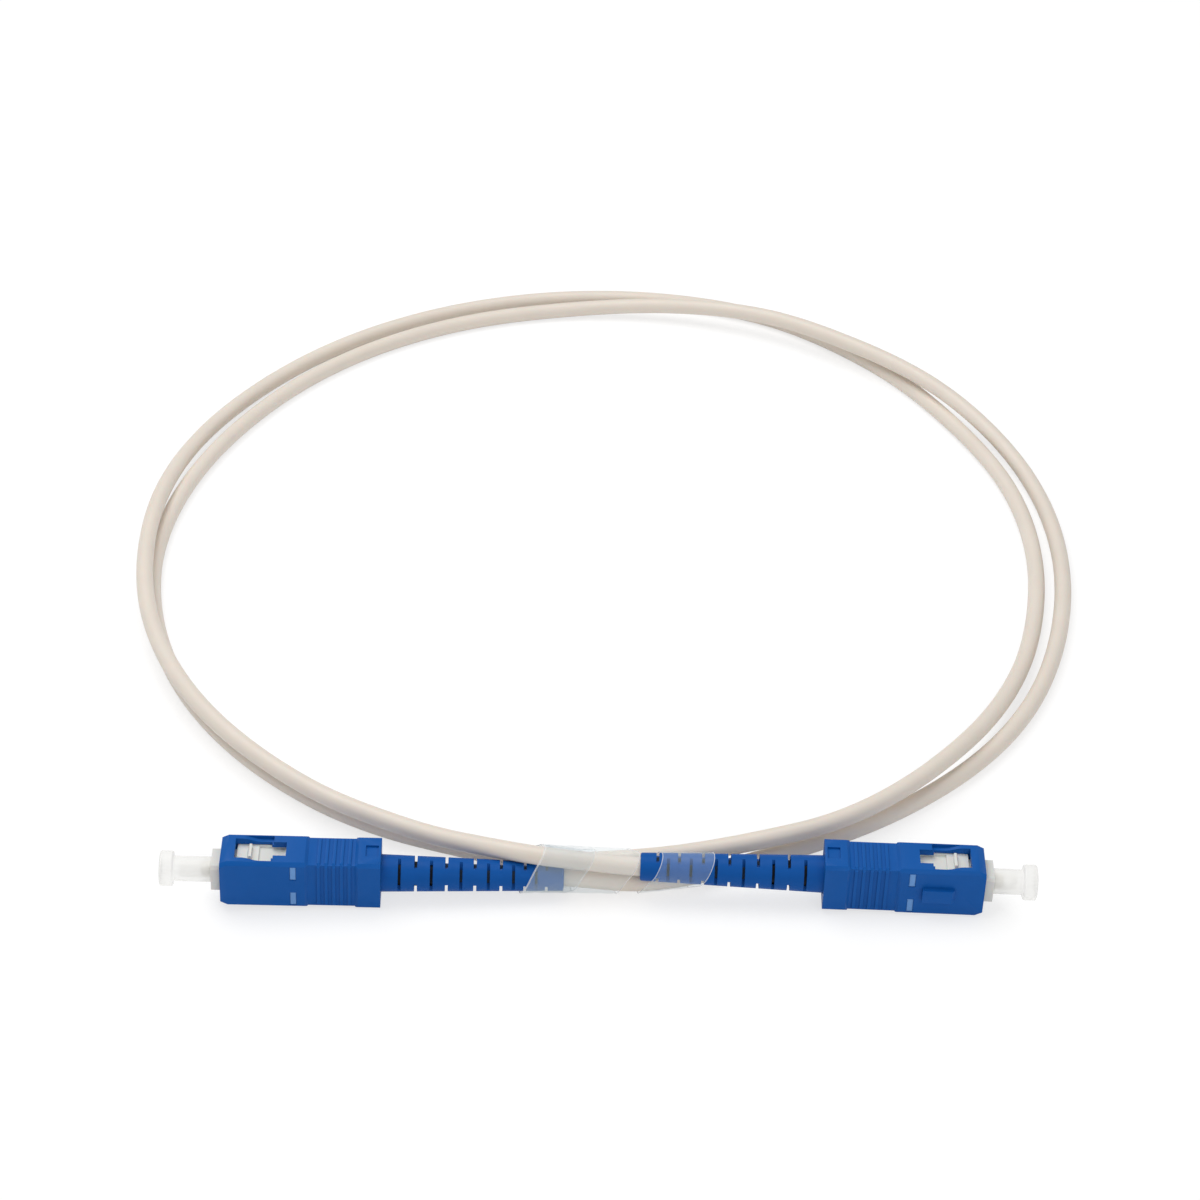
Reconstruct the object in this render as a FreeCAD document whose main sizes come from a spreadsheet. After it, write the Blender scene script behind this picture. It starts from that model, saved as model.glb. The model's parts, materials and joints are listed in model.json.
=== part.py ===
"""Simplex fibre optic patch cord with two push-pull connectors, coiled in a two-lap ring.

Each connector is drawn along its own X axis: zero is the rear face of the outer housing,
the nose points to +X, and the cable leaves towards -X. The two connectors are then laid on
the floor (Z = 0) back to back, with the cable ring behind them (+Y).
"""
import FreeCAD, Part
import Sketcher
import math
import os

from FreeCAD import Placement, Rotation, Vector

SHEET = "Dims"

# alias, value in millimetres, degrees or a count
DIMENSIONS = [
    ("cut_margin", 1.0),
    # outer housing
    ("housing_length", 25.0),
    ("housing_width", 7.4),
    ("housing_height", 9.0),
    ("housing_bevel", 0.55),
    ("nose_chamfer_length", 1.1),
    ("nose_chamfer_depth", 0.55),
    ("waist_start", 4.0),
    ("waist_end", 11.8),
    ("waist_depth", 0.4),
    ("waist_ramp", 0.5),
    ("rib_count", 5),
    ("rib_first", 4.6),
    ("rib_pitch", 1.2),
    ("rib_width", 0.5),
    ("rib_height", 0.25),
    ("key_nose_gap", 4.7),
    ("key_length", 5.0),
    ("key_width", 2.4),
    ("key_height", 0.8),
    ("window_nose_wall", 2.2),
    ("window_length", 8.0),
    ("window_wide_length", 5.7),
    ("window_half_narrow", 1.6),
    ("window_half_wide", 2.25),
    ("channel_nose_gap", 3.35),
    ("channel_ramp", 2.75),
    ("channel_flat", 2.1),
    ("channel_side_wall", 0.7),
    ("channel_depth", 0.6),
    ("collar_notch_start", 0.4),
    ("collar_notch_length", 2.0),
    ("collar_notch_half", 1.3),
    ("collar_notch_depth", 0.35),
    ("mark_start", 13.1),
    ("mark_length", 1.0),
    ("mark_inner", 1.25),
    ("mark_outer", 3.85),
    ("mark_depth", 0.2),
    # plug frame
    ("frame_width", 5.6),
    ("frame_height", 6.6),
    ("frame_bevel", 0.3),
    ("frame_rear", 5.5),
    ("frame_overhang", 1.5),
    ("frame_nose_length", 4.0),
    ("frame_nose_side", 5.0),
    ("frame_nose_bevel", 0.45),
    ("frame_slide_clearance", 0.1),
    ("sleeve_cavity_depth", 5.0),
    ("stop_wall", 1.3),
    ("sleeve_cavity_radius", 2.2),
    ("tab_window_gap", 1.8),
    ("tab_length", 0.8),
    ("tab_half", 1.5),
    ("tab_height", 0.85),
    ("hook_tab_gap", 1.1),
    ("hook_recess_length", 4.2),
    ("hook_recess_half", 2.0),
    ("hook_recess_depth", 0.4),
    ("snap_start", 6.7),
    ("snap_length", 1.3),
    ("snap_half", 0.8),
    ("snap_clearance", 0.1),
    ("snap_height", 0.32),
    # ferrule, its flange and its spring
    ("ferrule_radius", 1.25),
    ("ferrule_length", 10.5),
    ("ferrule_seat", 2.5),
    ("ferrule_chamfer", 0.3),
    ("ferrule_chamfer_length", 0.55),
    ("ferrule_guide_clearance", 0.2),
    ("flange_radius", 2.15),
    ("flange_length", 2.55),
    ("tail_radius", 1.1),
    ("tail_length", 5.2),
    ("press_clearance", 0.01),
    ("spring_wire_radius", 0.22),
    ("spring_radius", 1.7),
    ("spring_turns", 4),
    ("spring_turn_steps", 16),
    ("spring_wire_sides", 5),
    ("spring_end_gap", 0.03),
    # stop ring, crimp sleeve, yarn
    ("collar_radius", 2.9),
    ("collar_length", 1.3),
    ("stop_front", 10.6),
    ("stop_fit_clearance", 0.05),
    ("stop_bore_radius", 1.4),
    ("stop_bore_depth", 4.1),
    ("barrel_radius", 1.45),
    ("barrel_rear", -4.2),
    ("fibre_clearance", 0.1),
    ("layer_clearance", 0.02),
    ("yarn_thickness", 0.18),
    ("yarn_length", 7.9),
    ("crimp_wall", 0.36),
    ("crimp_rear", -9.0),
    # boot
    ("boot_head_radius", 2.95),
    ("boot_tail_radius", 2.2),
    ("boot_tail", -27.9),
    ("boot_edge", 0.2),
    ("boot_sides", 12),
    ("boot_bore_clearance", 0.12),
    ("boot_head_bore_end", -9.4),
    ("boot_housing_clearance", 0.2),
    ("slot_count", 12),
    ("slot_first", 2.9),
    ("slot_pitch", 2.55),
    ("slot_pitch_step", 0.09),
    ("slot_width", 0.55),
    ("slot_web_half", 1.3),
    # cable
    ("cable_radius", 1.5),
    ("cable_sides", 8),
    ("cable_bend_step", 6.0),
    ("cable_end_gap", 0.2),
    ("fibre_radius", 0.45),
    ("fibre_inside", 7.1),
    ("cable_bore_depth", 9.3),
    # dust cap
    ("cap_radius", 2.0),
    ("cap_left_seat", 1.2),
    ("cap_right_seat", 2.4),
    ("cap_barrel_length", 7.2),
    ("cap_flange_length", 2.1),
    ("cap_flange_radius", 2.8),
    ("cap_flange_edge", 0.35),
    ("cap_bore_clearance", 0.05),
    ("cap_bore_depth", 6.1),
    # where the connectors lie
    ("left_x", -34.7),
    ("left_y", 0.95),
    ("left_yaw", 180.95),
    ("left_pitch", -2.5),
    ("left_boot_roll", 120.0),
    ("right_x", 34.7),
    ("right_y", -0.05),
    ("right_yaw", -1.85),
    ("right_pitch", 1.5),
    ("right_boot_roll", 66.0),
    # cable ring
    ("ring_x", -0.7),
    ("ring_y", 93.7),
    ("ring_mean_radius", 85.2),
    ("ring_oval", 3.9),
    ("ring_spread", 5.0),
    ("ring_stack_spread", 1.1),
    ("ring_climb", 3.68),
    ("ring_step", 20.0),
    ("swap_front_start", 26.0),
    ("swap_front_end", 70.0),
    ("swap_back_start", 100.0),
    ("swap_back_end", 165.0),
    ("first_climb_end", 130.0),
    ("first_descent_start", 135.0),
    ("stack_start", 235.0),
    ("stack_end", 295.0),
    ("second_climb_end", 285.0),
    ("second_descent_start", 38.0),
    ("second_descent_end", 72.0),
    ("floor_margin", 0.12),
    ("lap_one_start", 24.0),
    ("lap_two_start", 18.0),
    ("lap_end", 330.0),
    # clear tape
    ("tape_clearance", 0.12),
    ("tape_thickness", 0.12),
    ("tape_lean", 4.6),
    ("tape_taper", 3.0),
    ("tape_stations", 7),
    ("tape_bends", 4),
    ("tape_left_start", -11.4),
    ("tape_left_end", 5.4),
    ("tape_right_start", 7.6),
    ("tape_right_end", 15.8),
]

# alias and formula of the places that follow the housing's length
PLACES = [
    ("key_start", "housing_length - key_nose_gap - key_length"),
    ("window_front", "housing_length - window_nose_wall"),
    ("window_step", "window_front - window_wide_length"),
    ("window_rear", "window_front - window_length"),
    ("channel_front", "housing_length - channel_nose_gap"),
    ("channel_rear", "channel_front - channel_ramp - channel_flat"),
    ("frame_front", "housing_length + frame_overhang"),
    ("frame_shoulder", "frame_front - frame_nose_length"),
    ("stop_wall_front", "frame_front - sleeve_cavity_depth"),
    ("stop_wall_rear", "stop_wall_front - stop_wall"),
    ("ferrule_tip", "stop_wall_rear - ferrule_seat + ferrule_length"),
    ("tab_start", "window_front - tab_window_gap - tab_length"),
    ("hook_recess_start", "tab_start - hook_tab_gap - hook_recess_length"),
    ("cap_left_rear", "frame_front - cap_left_seat"),
    ("cap_right_rear", "frame_front - cap_right_seat"),
]

# Points of the cable between the boots, chosen by hand: X, Y, Z
FRONT_RUN = [(4.5, 1.25, 2.05), (13.0, 2.95, 1.85), (22.5, 6.3, 1.7)]
MIDDLE_RUN = [(-34.5, 12.4, 1.5), (-25.0, 8.0, 1.6), (-15.5, 5.7, 2.0), (-6.5, 5.3, 2.6),
              (2.0, 5.5, 3.7), (10.5, 6.1, 4.6), (18.5, 7.3, 5.0)]
BACK_RUN = [(-35.5, 11.9, 6.1), (-26.5, 7.4, 7.3), (-17.5, 4.0, 7.9), (-9.6, 2.1, 7.6),
            (-3.0, 1.25, 6.75)]

doc = FreeCAD.newDocument("patch_cord")
sheet = doc.addObject("Spreadsheet::Sheet", SHEET)
cells = [(alias, str(value)) for alias, value in DIMENSIONS]
cells += [(alias, "=" + formula) for alias, formula in PLACES]
for row, (alias, content) in enumerate(cells, start=1):
    sheet.set("A%d" % row, alias)
    sheet.set("B%d" % row, content)
    sheet.setAlias("B%d" % row, alias)
doc.recompute()


def size(alias):
    """Value of one driving dimension."""
    return float(getattr(sheet, alias))


def bound(text):
    """Expression in which each $alias is a cell of the sheet."""
    return text.replace("$", SHEET + ".")


def new_body(label):
    return doc.addObject("PartDesign::Body", label)


def origin_feature(body, role):
    return next(f for f in body.Origin.OriginFeatures if f.Role == role)


def outline(body, name, plane, loops, offset=None):
    """Sketch of closed polygons whose corners are pairs of expressions."""
    sketch = body.newObject("Sketcher::SketchObject", name)
    sketch.AttachmentSupport = [(origin_feature(body, plane), "")]
    sketch.MapMode = "FlatFace"
    if offset:
        sketch.setExpression("AttachmentOffset.Base.z", bound(offset))
    for corners in loops:
        points = [Vector(*[float(sketch.evalExpression(bound(t))) for t in corner], 0)
                  for corner in corners]
        first = sketch.GeometryCount
        count = len(points)
        for i in range(count):
            sketch.addGeometry(Part.LineSegment(points[i], points[(i + 1) % count]), False)
        for i in range(count):
            sketch.addConstraint(Sketcher.Constraint("Coincident", first + i, 2,
                                                     first + (i + 1) % count, 1))
        for i, (across, up) in enumerate(corners):
            for kind, text, value in (("DistanceX", across, points[i].x),
                                      ("DistanceY", up, points[i].y)):
                index = sketch.addConstraint(
                    Sketcher.Constraint(kind, -1, 1, first + i, 1, value))
                sketch.setExpression("Constraints[%d]" % index, bound(text))
    return sketch


def circle(body, name, plane, radius, offset=None):
    """Sketch of one circle on the axis."""
    sketch = body.newObject("Sketcher::SketchObject", name)
    sketch.AttachmentSupport = [(origin_feature(body, plane), "")]
    sketch.MapMode = "FlatFace"
    if offset:
        sketch.setExpression("AttachmentOffset.Base.z", bound(offset))
    start = float(sketch.evalExpression(bound(radius)))
    sketch.addGeometry(Part.Circle(Vector(), Vector(0, 0, 1), start), False)
    sketch.addConstraint(Sketcher.Constraint("Coincident", 0, 3, -1, 1))
    index = sketch.addConstraint(Sketcher.Constraint("Radius", 0, start))
    sketch.setExpression("Constraints[%d]" % index, bound(radius))
    return sketch


def pad(body, sketch, length, midplane=False):
    feature = body.newObject("PartDesign::Pad", sketch.Name + "_pad")
    feature.Profile = sketch
    feature.SideType = "Symmetric" if midplane else "One side"
    feature.setExpression("Length", bound(length))
    return feature


def pocket(body, sketch, length, midplane=False, reverse=True):
    """Cut towards the sketch's normal, or both ways from its plane."""
    feature = body.newObject("PartDesign::Pocket", sketch.Name + "_pocket")
    feature.Profile = sketch
    feature.SideType = "Symmetric" if midplane else "One side"
    feature.Reversed = reverse and not midplane
    feature.setExpression("Length", bound(length))
    return feature


def turned(body, name, corners, cutting=False):
    """Revolve a profile of (x, radius) corners about the connector's axis."""
    sketch = outline(body, name, "XY_Plane", [corners])
    kind = "PartDesign::Groove" if cutting else "PartDesign::Revolution"
    feature = body.newObject(kind, name + "_turned")
    feature.Profile = sketch
    feature.ReferenceAxis = (sketch, ["H_Axis"])
    feature.Angle = 360.0
    return feature


def rectangle(left, low, right, high):
    return [(left, low), (right, low), (right, high), (left, high)]


def bevelled(half_across, half_up, bevel):
    """Octagon of a rectangular section with bevelled corners."""
    a, u, b = "(%s)" % half_across, "(%s)" % half_up, "(%s)" % bevel
    quarter = [(a, "%s - %s" % (u, b)), ("%s - %s" % (a, b), u)]
    corners = list(quarter)
    corners += [("-(%s)" % x, y) for x, y in reversed(quarter)]
    corners += [("-(%s)" % x, "-(%s)" % y) for x, y in quarter]
    corners += [(x, "-(%s)" % y) for x, y in reversed(quarter)]
    return corners


def outer_housing(label):
    """Push-pull grip: bevelled shell with a ribbed waist, latch windows and a key."""
    body = new_body(label)
    pad(body, outline(body, label + "_block", "YZ_Plane",
                      [bevelled("$housing_width / 2", "$housing_height / 2", "$housing_bevel")]),
        "$housing_length")
    for plane, half in (("XY_Plane", "$housing_width / 2"), ("XZ_Plane", "$housing_height / 2")):
        trapezia = []
        for sign in ("", "-"):
            outer = "%s(%s + $cut_margin)" % (sign, half)
            inner = "%s(%s - $waist_depth)" % (sign, half)
            trapezia.append([("$waist_start - $waist_ramp - $waist_ramp * $cut_margin / $waist_depth", outer),
                             ("$waist_start", inner),
                             ("$waist_end - $waist_ramp", inner),
                             ("$waist_end + $waist_ramp * $cut_margin / $waist_depth", outer)])
        pocket(body, outline(body, label + "_waist_" + plane[:2], plane, trapezia),
               "2 * $housing_height", midplane=True)
    ribs = pad(body, outline(body, label + "_rib", "YZ_Plane",
                             [bevelled("$housing_width / 2 - $waist_depth + $rib_height",
                                       "$housing_height / 2 - $waist_depth + $rib_height",
                                       "$housing_bevel")], "$rib_first"),
               "$rib_width")
    row_of_ribs = body.newObject("PartDesign::LinearPattern", label + "_ribs")
    row_of_ribs.Originals = [ribs]
    row_of_ribs.Direction = (origin_feature(body, "X_Axis"), [""])
    row_of_ribs.setExpression("Length", bound("($rib_count - 1) * $rib_pitch"))
    row_of_ribs.setExpression("Occurrences", bound("$rib_count"))
    body.Tip = row_of_ribs
    key = outline(body, label + "_key", "XY_Plane",
                  [[("$key_start", "-$housing_width / 2 + $waist_depth"),
                    ("$key_start", "-$housing_width / 2 - $key_height"),
                    ("$key_start + $key_length - $key_height / 2",
                     "-$housing_width / 2 - $key_height"),
                    ("$key_start + $key_length", "-$housing_width / 2 - $key_height / 2"),
                    ("$key_start + $key_length", "-$housing_width / 2 + $waist_depth")]])
    pad(body, key, "$key_width", midplane=True)
    cavity = outline(body, label + "_cavity", "YZ_Plane",
                     [bevelled("$frame_width / 2 + $frame_slide_clearance",
                               "$frame_height / 2 + $frame_slide_clearance", "$frame_bevel")],
                     "$frame_rear - $frame_slide_clearance")
    pocket(body, cavity, "$housing_length")
    pocket(body, circle(body, label + "_rear_bore", "YZ_Plane",
                        "$boot_head_radius + $boot_housing_clearance"), "$frame_rear")
    window = [("$window_rear", "-$window_half_narrow"), ("$window_step", "-$window_half_narrow"),
              ("$window_step", "-$window_half_wide"), ("$window_front", "-$window_half_wide"),
              ("$window_front", "$window_half_wide"), ("$window_step", "$window_half_wide"),
              ("$window_step", "$window_half_narrow"), ("$window_rear", "$window_half_narrow")]
    pocket(body, outline(body, label + "_window", "XY_Plane", [window]),
           "2 * $housing_height", midplane=True)
    channels, chamfers = [], []
    for up in ("", "-"):
        level = up + "($housing_height / 2 %s)"
        channels.append([("$channel_rear", level % "+ $cut_margin"),
                         ("$channel_rear", level % "- $channel_depth"),
                         ("$channel_front - $channel_ramp", level % "- $channel_depth"),
                         ("$channel_front - 0.75 * $channel_ramp", level % "- 0.85 * $channel_depth"),
                         ("$channel_front - 0.25 * $channel_ramp", level % "- 0.15 * $channel_depth"),
                         ("$channel_front", level % ""), ("$channel_front", level % "+ $cut_margin")])
        chamfers.append([("$housing_length - $nose_chamfer_length", level % ""),
                         ("$housing_length", level % "- $nose_chamfer_depth"),
                         ("$housing_length + $cut_margin", level % "- $nose_chamfer_depth"),
                         ("$housing_length + $cut_margin", level % "+ $cut_margin"),
                         ("$housing_length - $nose_chamfer_length", level % "+ $cut_margin")])
    pocket(body, outline(body, label + "_channels", "XZ_Plane", channels),
           "$housing_width - 2 * $channel_side_wall", midplane=True)
    pocket(body, outline(body, label + "_chamfers", "XZ_Plane", chamfers),
           "2 * $housing_width", midplane=True)
    notches = [rectangle("$collar_notch_start", "%s($housing_height / 2 - $collar_notch_depth)" % up,
                         "$collar_notch_start + $collar_notch_length",
                         "%s($housing_height / 2 + $cut_margin)" % up) for up in ("", "-")]
    pocket(body, outline(body, label + "_notch", "XZ_Plane", notches),
           "2 * $collar_notch_half", midplane=True)
    marks = []
    for across in ("", "-"):
        marks.append(rectangle("$mark_start", "%s($housing_width / 2 - $mark_depth)" % across,
                               "$mark_start + $mark_length", "%s($housing_width / 2 + $cut_margin)" % across))
    for name, height in (("upper", "$mark_inner"), ("lower", "-$mark_outer")):
        pocket(body, outline(body, "%s_mark_%s" % (label, name), "XY_Plane", marks, height),
               "$mark_outer - $mark_inner")
    return body


def plug_frame(label):
    """Inner body: carries the ferrule, latches the stop ring and guides the grip."""
    body = new_body(label)
    pad(body, outline(body, label + "_main", "YZ_Plane",
                      [bevelled("$frame_width / 2", "$frame_height / 2", "$frame_bevel")],
                      "$frame_rear"), "$frame_shoulder - $frame_rear")
    pad(body, outline(body, label + "_nose", "YZ_Plane",
                      [bevelled("$frame_nose_side / 2", "$frame_nose_side / 2",
                                "$frame_nose_bevel")],
                      "$frame_shoulder"), "$frame_front - $frame_shoulder")
    tabs = []
    for up in ("", "-"):
        tabs.append([("$tab_start", "%s($frame_height / 2 - $hook_recess_depth)" % up),
                     ("$tab_start", "%s($frame_height / 2 + $tab_height)" % up),
                     ("$tab_start + $tab_length / 2", "%s($frame_height / 2 + $tab_height)" % up),
                     ("$tab_start + $tab_length", "%s($frame_height / 2 - $hook_recess_depth)" % up)])
    pad(body, outline(body, label + "_tabs", "XZ_Plane", tabs), "2 * $tab_half", midplane=True)
    recesses = [rectangle("$hook_recess_start", "%s($frame_height / 2 - $hook_recess_depth)" % up,
                          "$hook_recess_start + $hook_recess_length",
                          "%s($frame_height / 2 + $cut_margin)" % up) for up in ("", "-")]
    pocket(body, outline(body, label + "_recess", "XZ_Plane", recesses),
           "2 * $hook_recess_half", midplane=True)
    turned(body, label + "_bores",
           [("$frame_rear", "0"),
            ("$frame_rear", "$flange_radius + $ferrule_guide_clearance"),
            ("$stop_wall_rear", "$flange_radius + $ferrule_guide_clearance"),
            ("$stop_wall_rear", "$ferrule_radius + $ferrule_guide_clearance"),
            ("$stop_wall_front", "$ferrule_radius + $ferrule_guide_clearance"),
            ("$stop_wall_front", "$sleeve_cavity_radius"),
            ("$frame_front", "$sleeve_cavity_radius"),
            ("$frame_front", "0")], cutting=True)
    snaps = rectangle("$snap_start - $snap_clearance", "-$snap_half - $snap_clearance",
                      "$snap_start + $snap_length + $snap_clearance",
                      "$snap_half + $snap_clearance")
    pocket(body, outline(body, label + "_snaps", "XZ_Plane", [snaps]),
           "2 * $frame_width", midplane=True)
    return body


def ferrule(label):
    body = new_body(label)
    rear = "$stop_wall_rear - $ferrule_seat"
    turned(body, label + "_profile",
           [(rear, "0"), (rear, "$ferrule_radius"),
            ("$ferrule_tip - $ferrule_chamfer_length", "$ferrule_radius"),
            ("$ferrule_tip", "$ferrule_radius - $ferrule_chamfer"), ("$ferrule_tip", "0")])
    return body


def ferrule_flange(label):
    """Metal flange pressed on the ferrule, with the tail that guides the spring."""
    body = new_body(label)
    front = "$stop_wall_rear"
    rear = "$stop_wall_rear - $flange_length"
    tail = rear + " - $tail_length"
    fibre_bore = "$fibre_radius + $fibre_clearance / 2"
    turned(body, label + "_profile",
           [(tail, fibre_bore), (tail, "$tail_radius"), (rear, "$tail_radius"),
            (rear, "$flange_radius"), (front, "$flange_radius"),
            (front, "$ferrule_radius + $press_clearance"),
            ("$stop_wall_rear - $ferrule_seat - $layer_clearance",
             "$ferrule_radius + $press_clearance"),
            ("$stop_wall_rear - $ferrule_seat - $layer_clearance", fibre_bore)])
    return body


def buffered_fibre(label):
    body = new_body(label)
    rear = "$barrel_rear - $cable_end_gap - $fibre_inside"
    pad(body, circle(body, label + "_section", "YZ_Plane", "$fibre_radius", rear),
        "$stop_wall_rear - $ferrule_seat - 2 * $layer_clearance - (%s)" % rear)
    return body


def arc_edge(start, corner, end):
    """Arc from start to end, tangent to both lines through the corner."""
    middle = (start + end) / 2
    half_chord = (end - start).Length / 2
    reach = (corner - start).Length
    turn = math.acos(min(1.0, half_chord / reach))
    if turn < 1e-5:
        return Part.LineSegment(start, end).toShape()
    bulge = middle + (corner - middle) * (math.tan(turn / 2) / math.tan(turn))
    return Part.Arc(start, bulge, end).toShape()


def biarc(start, first, end, last):
    """Two tangent arcs from start along first to end along last."""
    chord = end - start
    both = first + last
    spare = 2 * (1 - first.dot(last))
    if spare < 1e-9:
        reach = chord.dot(chord) / (4 * chord.dot(last))
    else:
        along = chord.dot(both)
        reach = (math.sqrt(along * along + spare * chord.dot(chord)) - along) / spare
    one, two = start + first * reach, end - last * reach
    joint = (one + two) / 2
    return [arc_edge(start, one, joint), arc_edge(joint, two, end)]


def skin(sections):
    """Solid through polygons with equal numbers of corners, its sides split into triangles.

    A side is split along the diagonal that lies farther out.
    """
    count = len(sections[0])
    faces = [Part.Face(Part.makePolygon(s + s[:1])) for s in (sections[0][::-1], sections[-1])]
    for one, two in zip(sections, sections[1:]):
        hub = Vector()
        for corner in one + two:
            hub += corner / (2 * count)
        for i in range(count):
            a, b, c, d = one[i], one[(i + 1) % count], two[(i + 1) % count], two[i]
            if (a + c - b - d).dot(a + b + c + d - hub * 4) < 0:
                a, b, c, d = b, c, d, a
            for corners in ([a, b, c], [c, d, a]):
                faces.append(Part.Face(Part.makePolygon(corners + corners[:1])))
    solid = Part.makeSolid(Part.makeShell(faces))
    if solid.Volume < 0:
        solid.reverse()
    return solid


def tube(stations, axis, radius, sides):
    """Many-sided tube through stations, each a point and the direction of the tube there.

    The sections are square to the directions, and none of these runs along the axis.
    """
    sections = []
    for point, way in stations:
        across = way.cross(axis).normalize()
        over = across.cross(way)
        section = []
        for i in range(sides):
            angle = 2 * math.pi * (i + 0.5) / sides
            section.append(point + across * (radius * math.cos(angle))
                           + over * (radius * math.sin(angle)))
        sections.append(section)
    return skin(sections)


def least_gap(wire, radius):
    """Least distance between two strands' surfaces, measured on points."""
    spacing = 2 * radius / 3
    points = wire.discretize(Distance=spacing)
    neighbours = int(math.ceil(8 * radius / spacing))
    least = wire.Length
    for i, one in enumerate(points):
        for two in points[i + neighbours:]:
            least = min(least, (one - two).Length)
    return least - 2 * radius


def ferrule_spring(label):
    """Helical spring between the stop ring and the ferrule's flange."""
    radius, wire_radius = size("spring_radius"), size("spring_wire_radius")
    margin = wire_radius + size("spring_end_gap")
    start = size("stop_front") + margin
    end = size("stop_wall_rear") - size("flange_length") - margin
    whole = 2 * math.pi * size("spring_turns")
    rise = (end - start) / whole
    steps = int(size("spring_turns") * size("spring_turn_steps"))
    stations = []
    for i in range(steps + 1):
        angle = whole * i / steps
        across, up = math.cos(angle), math.sin(angle)
        stations.append((Vector(start + rise * angle, radius * across, radius * up),
                         Vector(rise, -radius * up, radius * across).normalize()))
    wire = Part.makePolygon([point for point, way in stations])
    print("%s least gap to itself %.2f mm" % (label, least_gap(wire, wire_radius)))
    feature = doc.addObject("Part::Feature", label)
    feature.Shape = tube(stations, Vector(1, 0, 0), wire_radius, int(size("spring_wire_sides")))
    return feature


def stop_ring(label):
    """Body that the cable is crimped to; it snaps into the plug frame's side windows."""
    body = new_body(label)
    fibre_bore = "$fibre_radius + 3 * $fibre_clearance"
    front_radius = "$flange_radius + $ferrule_guide_clearance - $stop_fit_clearance"
    profile = [("$barrel_rear", fibre_bore), ("$barrel_rear", "$barrel_radius")]
    collar_rear = "$frame_rear - $collar_length"
    profile += [(collar_rear, "$barrel_radius"), (collar_rear, "$collar_radius"),
                ("$frame_rear", "$collar_radius"), ("$frame_rear", front_radius),
                ("$stop_front", front_radius), ("$stop_front", "$stop_bore_radius"),
                ("$stop_front - $stop_bore_depth", "$stop_bore_radius"),
                ("$stop_front - $stop_bore_depth", fibre_bore)]
    turned(body, label + "_profile", profile)
    bumps = []
    for side in ("", "-"):
        root = "%s(%s - 2 * $snap_height)" % (side, front_radius)
        crest = "%s(%s + $snap_height)" % (side, front_radius)
        bumps.append([("$snap_start", root), ("$snap_start", crest),
                      ("$snap_start + $snap_length / 2", crest),
                      ("$snap_start + $snap_length", root)])
    pad(body, outline(body, label + "_bumps", "XY_Plane", bumps), "2 * $snap_half", midplane=True)
    return body


def aramid_yarn(label):
    """Yarn folded over the stop ring's barrel, under the crimp sleeve."""
    body = new_body(label)
    front = "$frame_rear - $collar_length - 2 * $layer_clearance"
    inner = "$barrel_radius + $layer_clearance"
    turned(body, label + "_profile",
           [("%s - $yarn_length" % front, inner),
            ("%s - $yarn_length" % front, inner + " + $yarn_thickness"),
            (front, inner + " + $yarn_thickness"), (front, inner)])
    return body


def crimp_sleeve(label):
    """Metal sleeve crimped over the yarn in front and over the jacket behind."""
    body = new_body(label)
    front = "$frame_rear - $collar_length - $layer_clearance"
    over_yarn = "$barrel_radius + 2 * $layer_clearance + $yarn_thickness"
    over_jacket = "$cable_radius + 2 * $layer_clearance"
    turned(body, label + "_profile",
           [("$crimp_rear", over_jacket), ("$crimp_rear", over_jacket + " + $crimp_wall"),
            ("$barrel_rear - $crimp_wall", over_jacket + " + $crimp_wall"),
            ("$barrel_rear + $crimp_wall", over_yarn + " + $crimp_wall"),
            (front, over_yarn + " + $crimp_wall"), (front, over_yarn),
            ("$barrel_rear", over_yarn), ("$barrel_rear - $crimp_wall", over_jacket)])
    return body


def polygon(radius, sides, around=False):
    """Regular polygon about the axis, with its corners on a circle or drawn around it."""
    stretch = 1 / math.cos(math.pi / sides) if around else 1.0
    corners = []
    for i in range(sides):
        angle = 2 * math.pi * (i + 0.5) / sides
        corners.append(("%.9f * (%s)" % (stretch * math.cos(angle), radius),
                        "%.9f * (%s)" % (stretch * math.sin(angle), radius)))
    return corners


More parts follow.
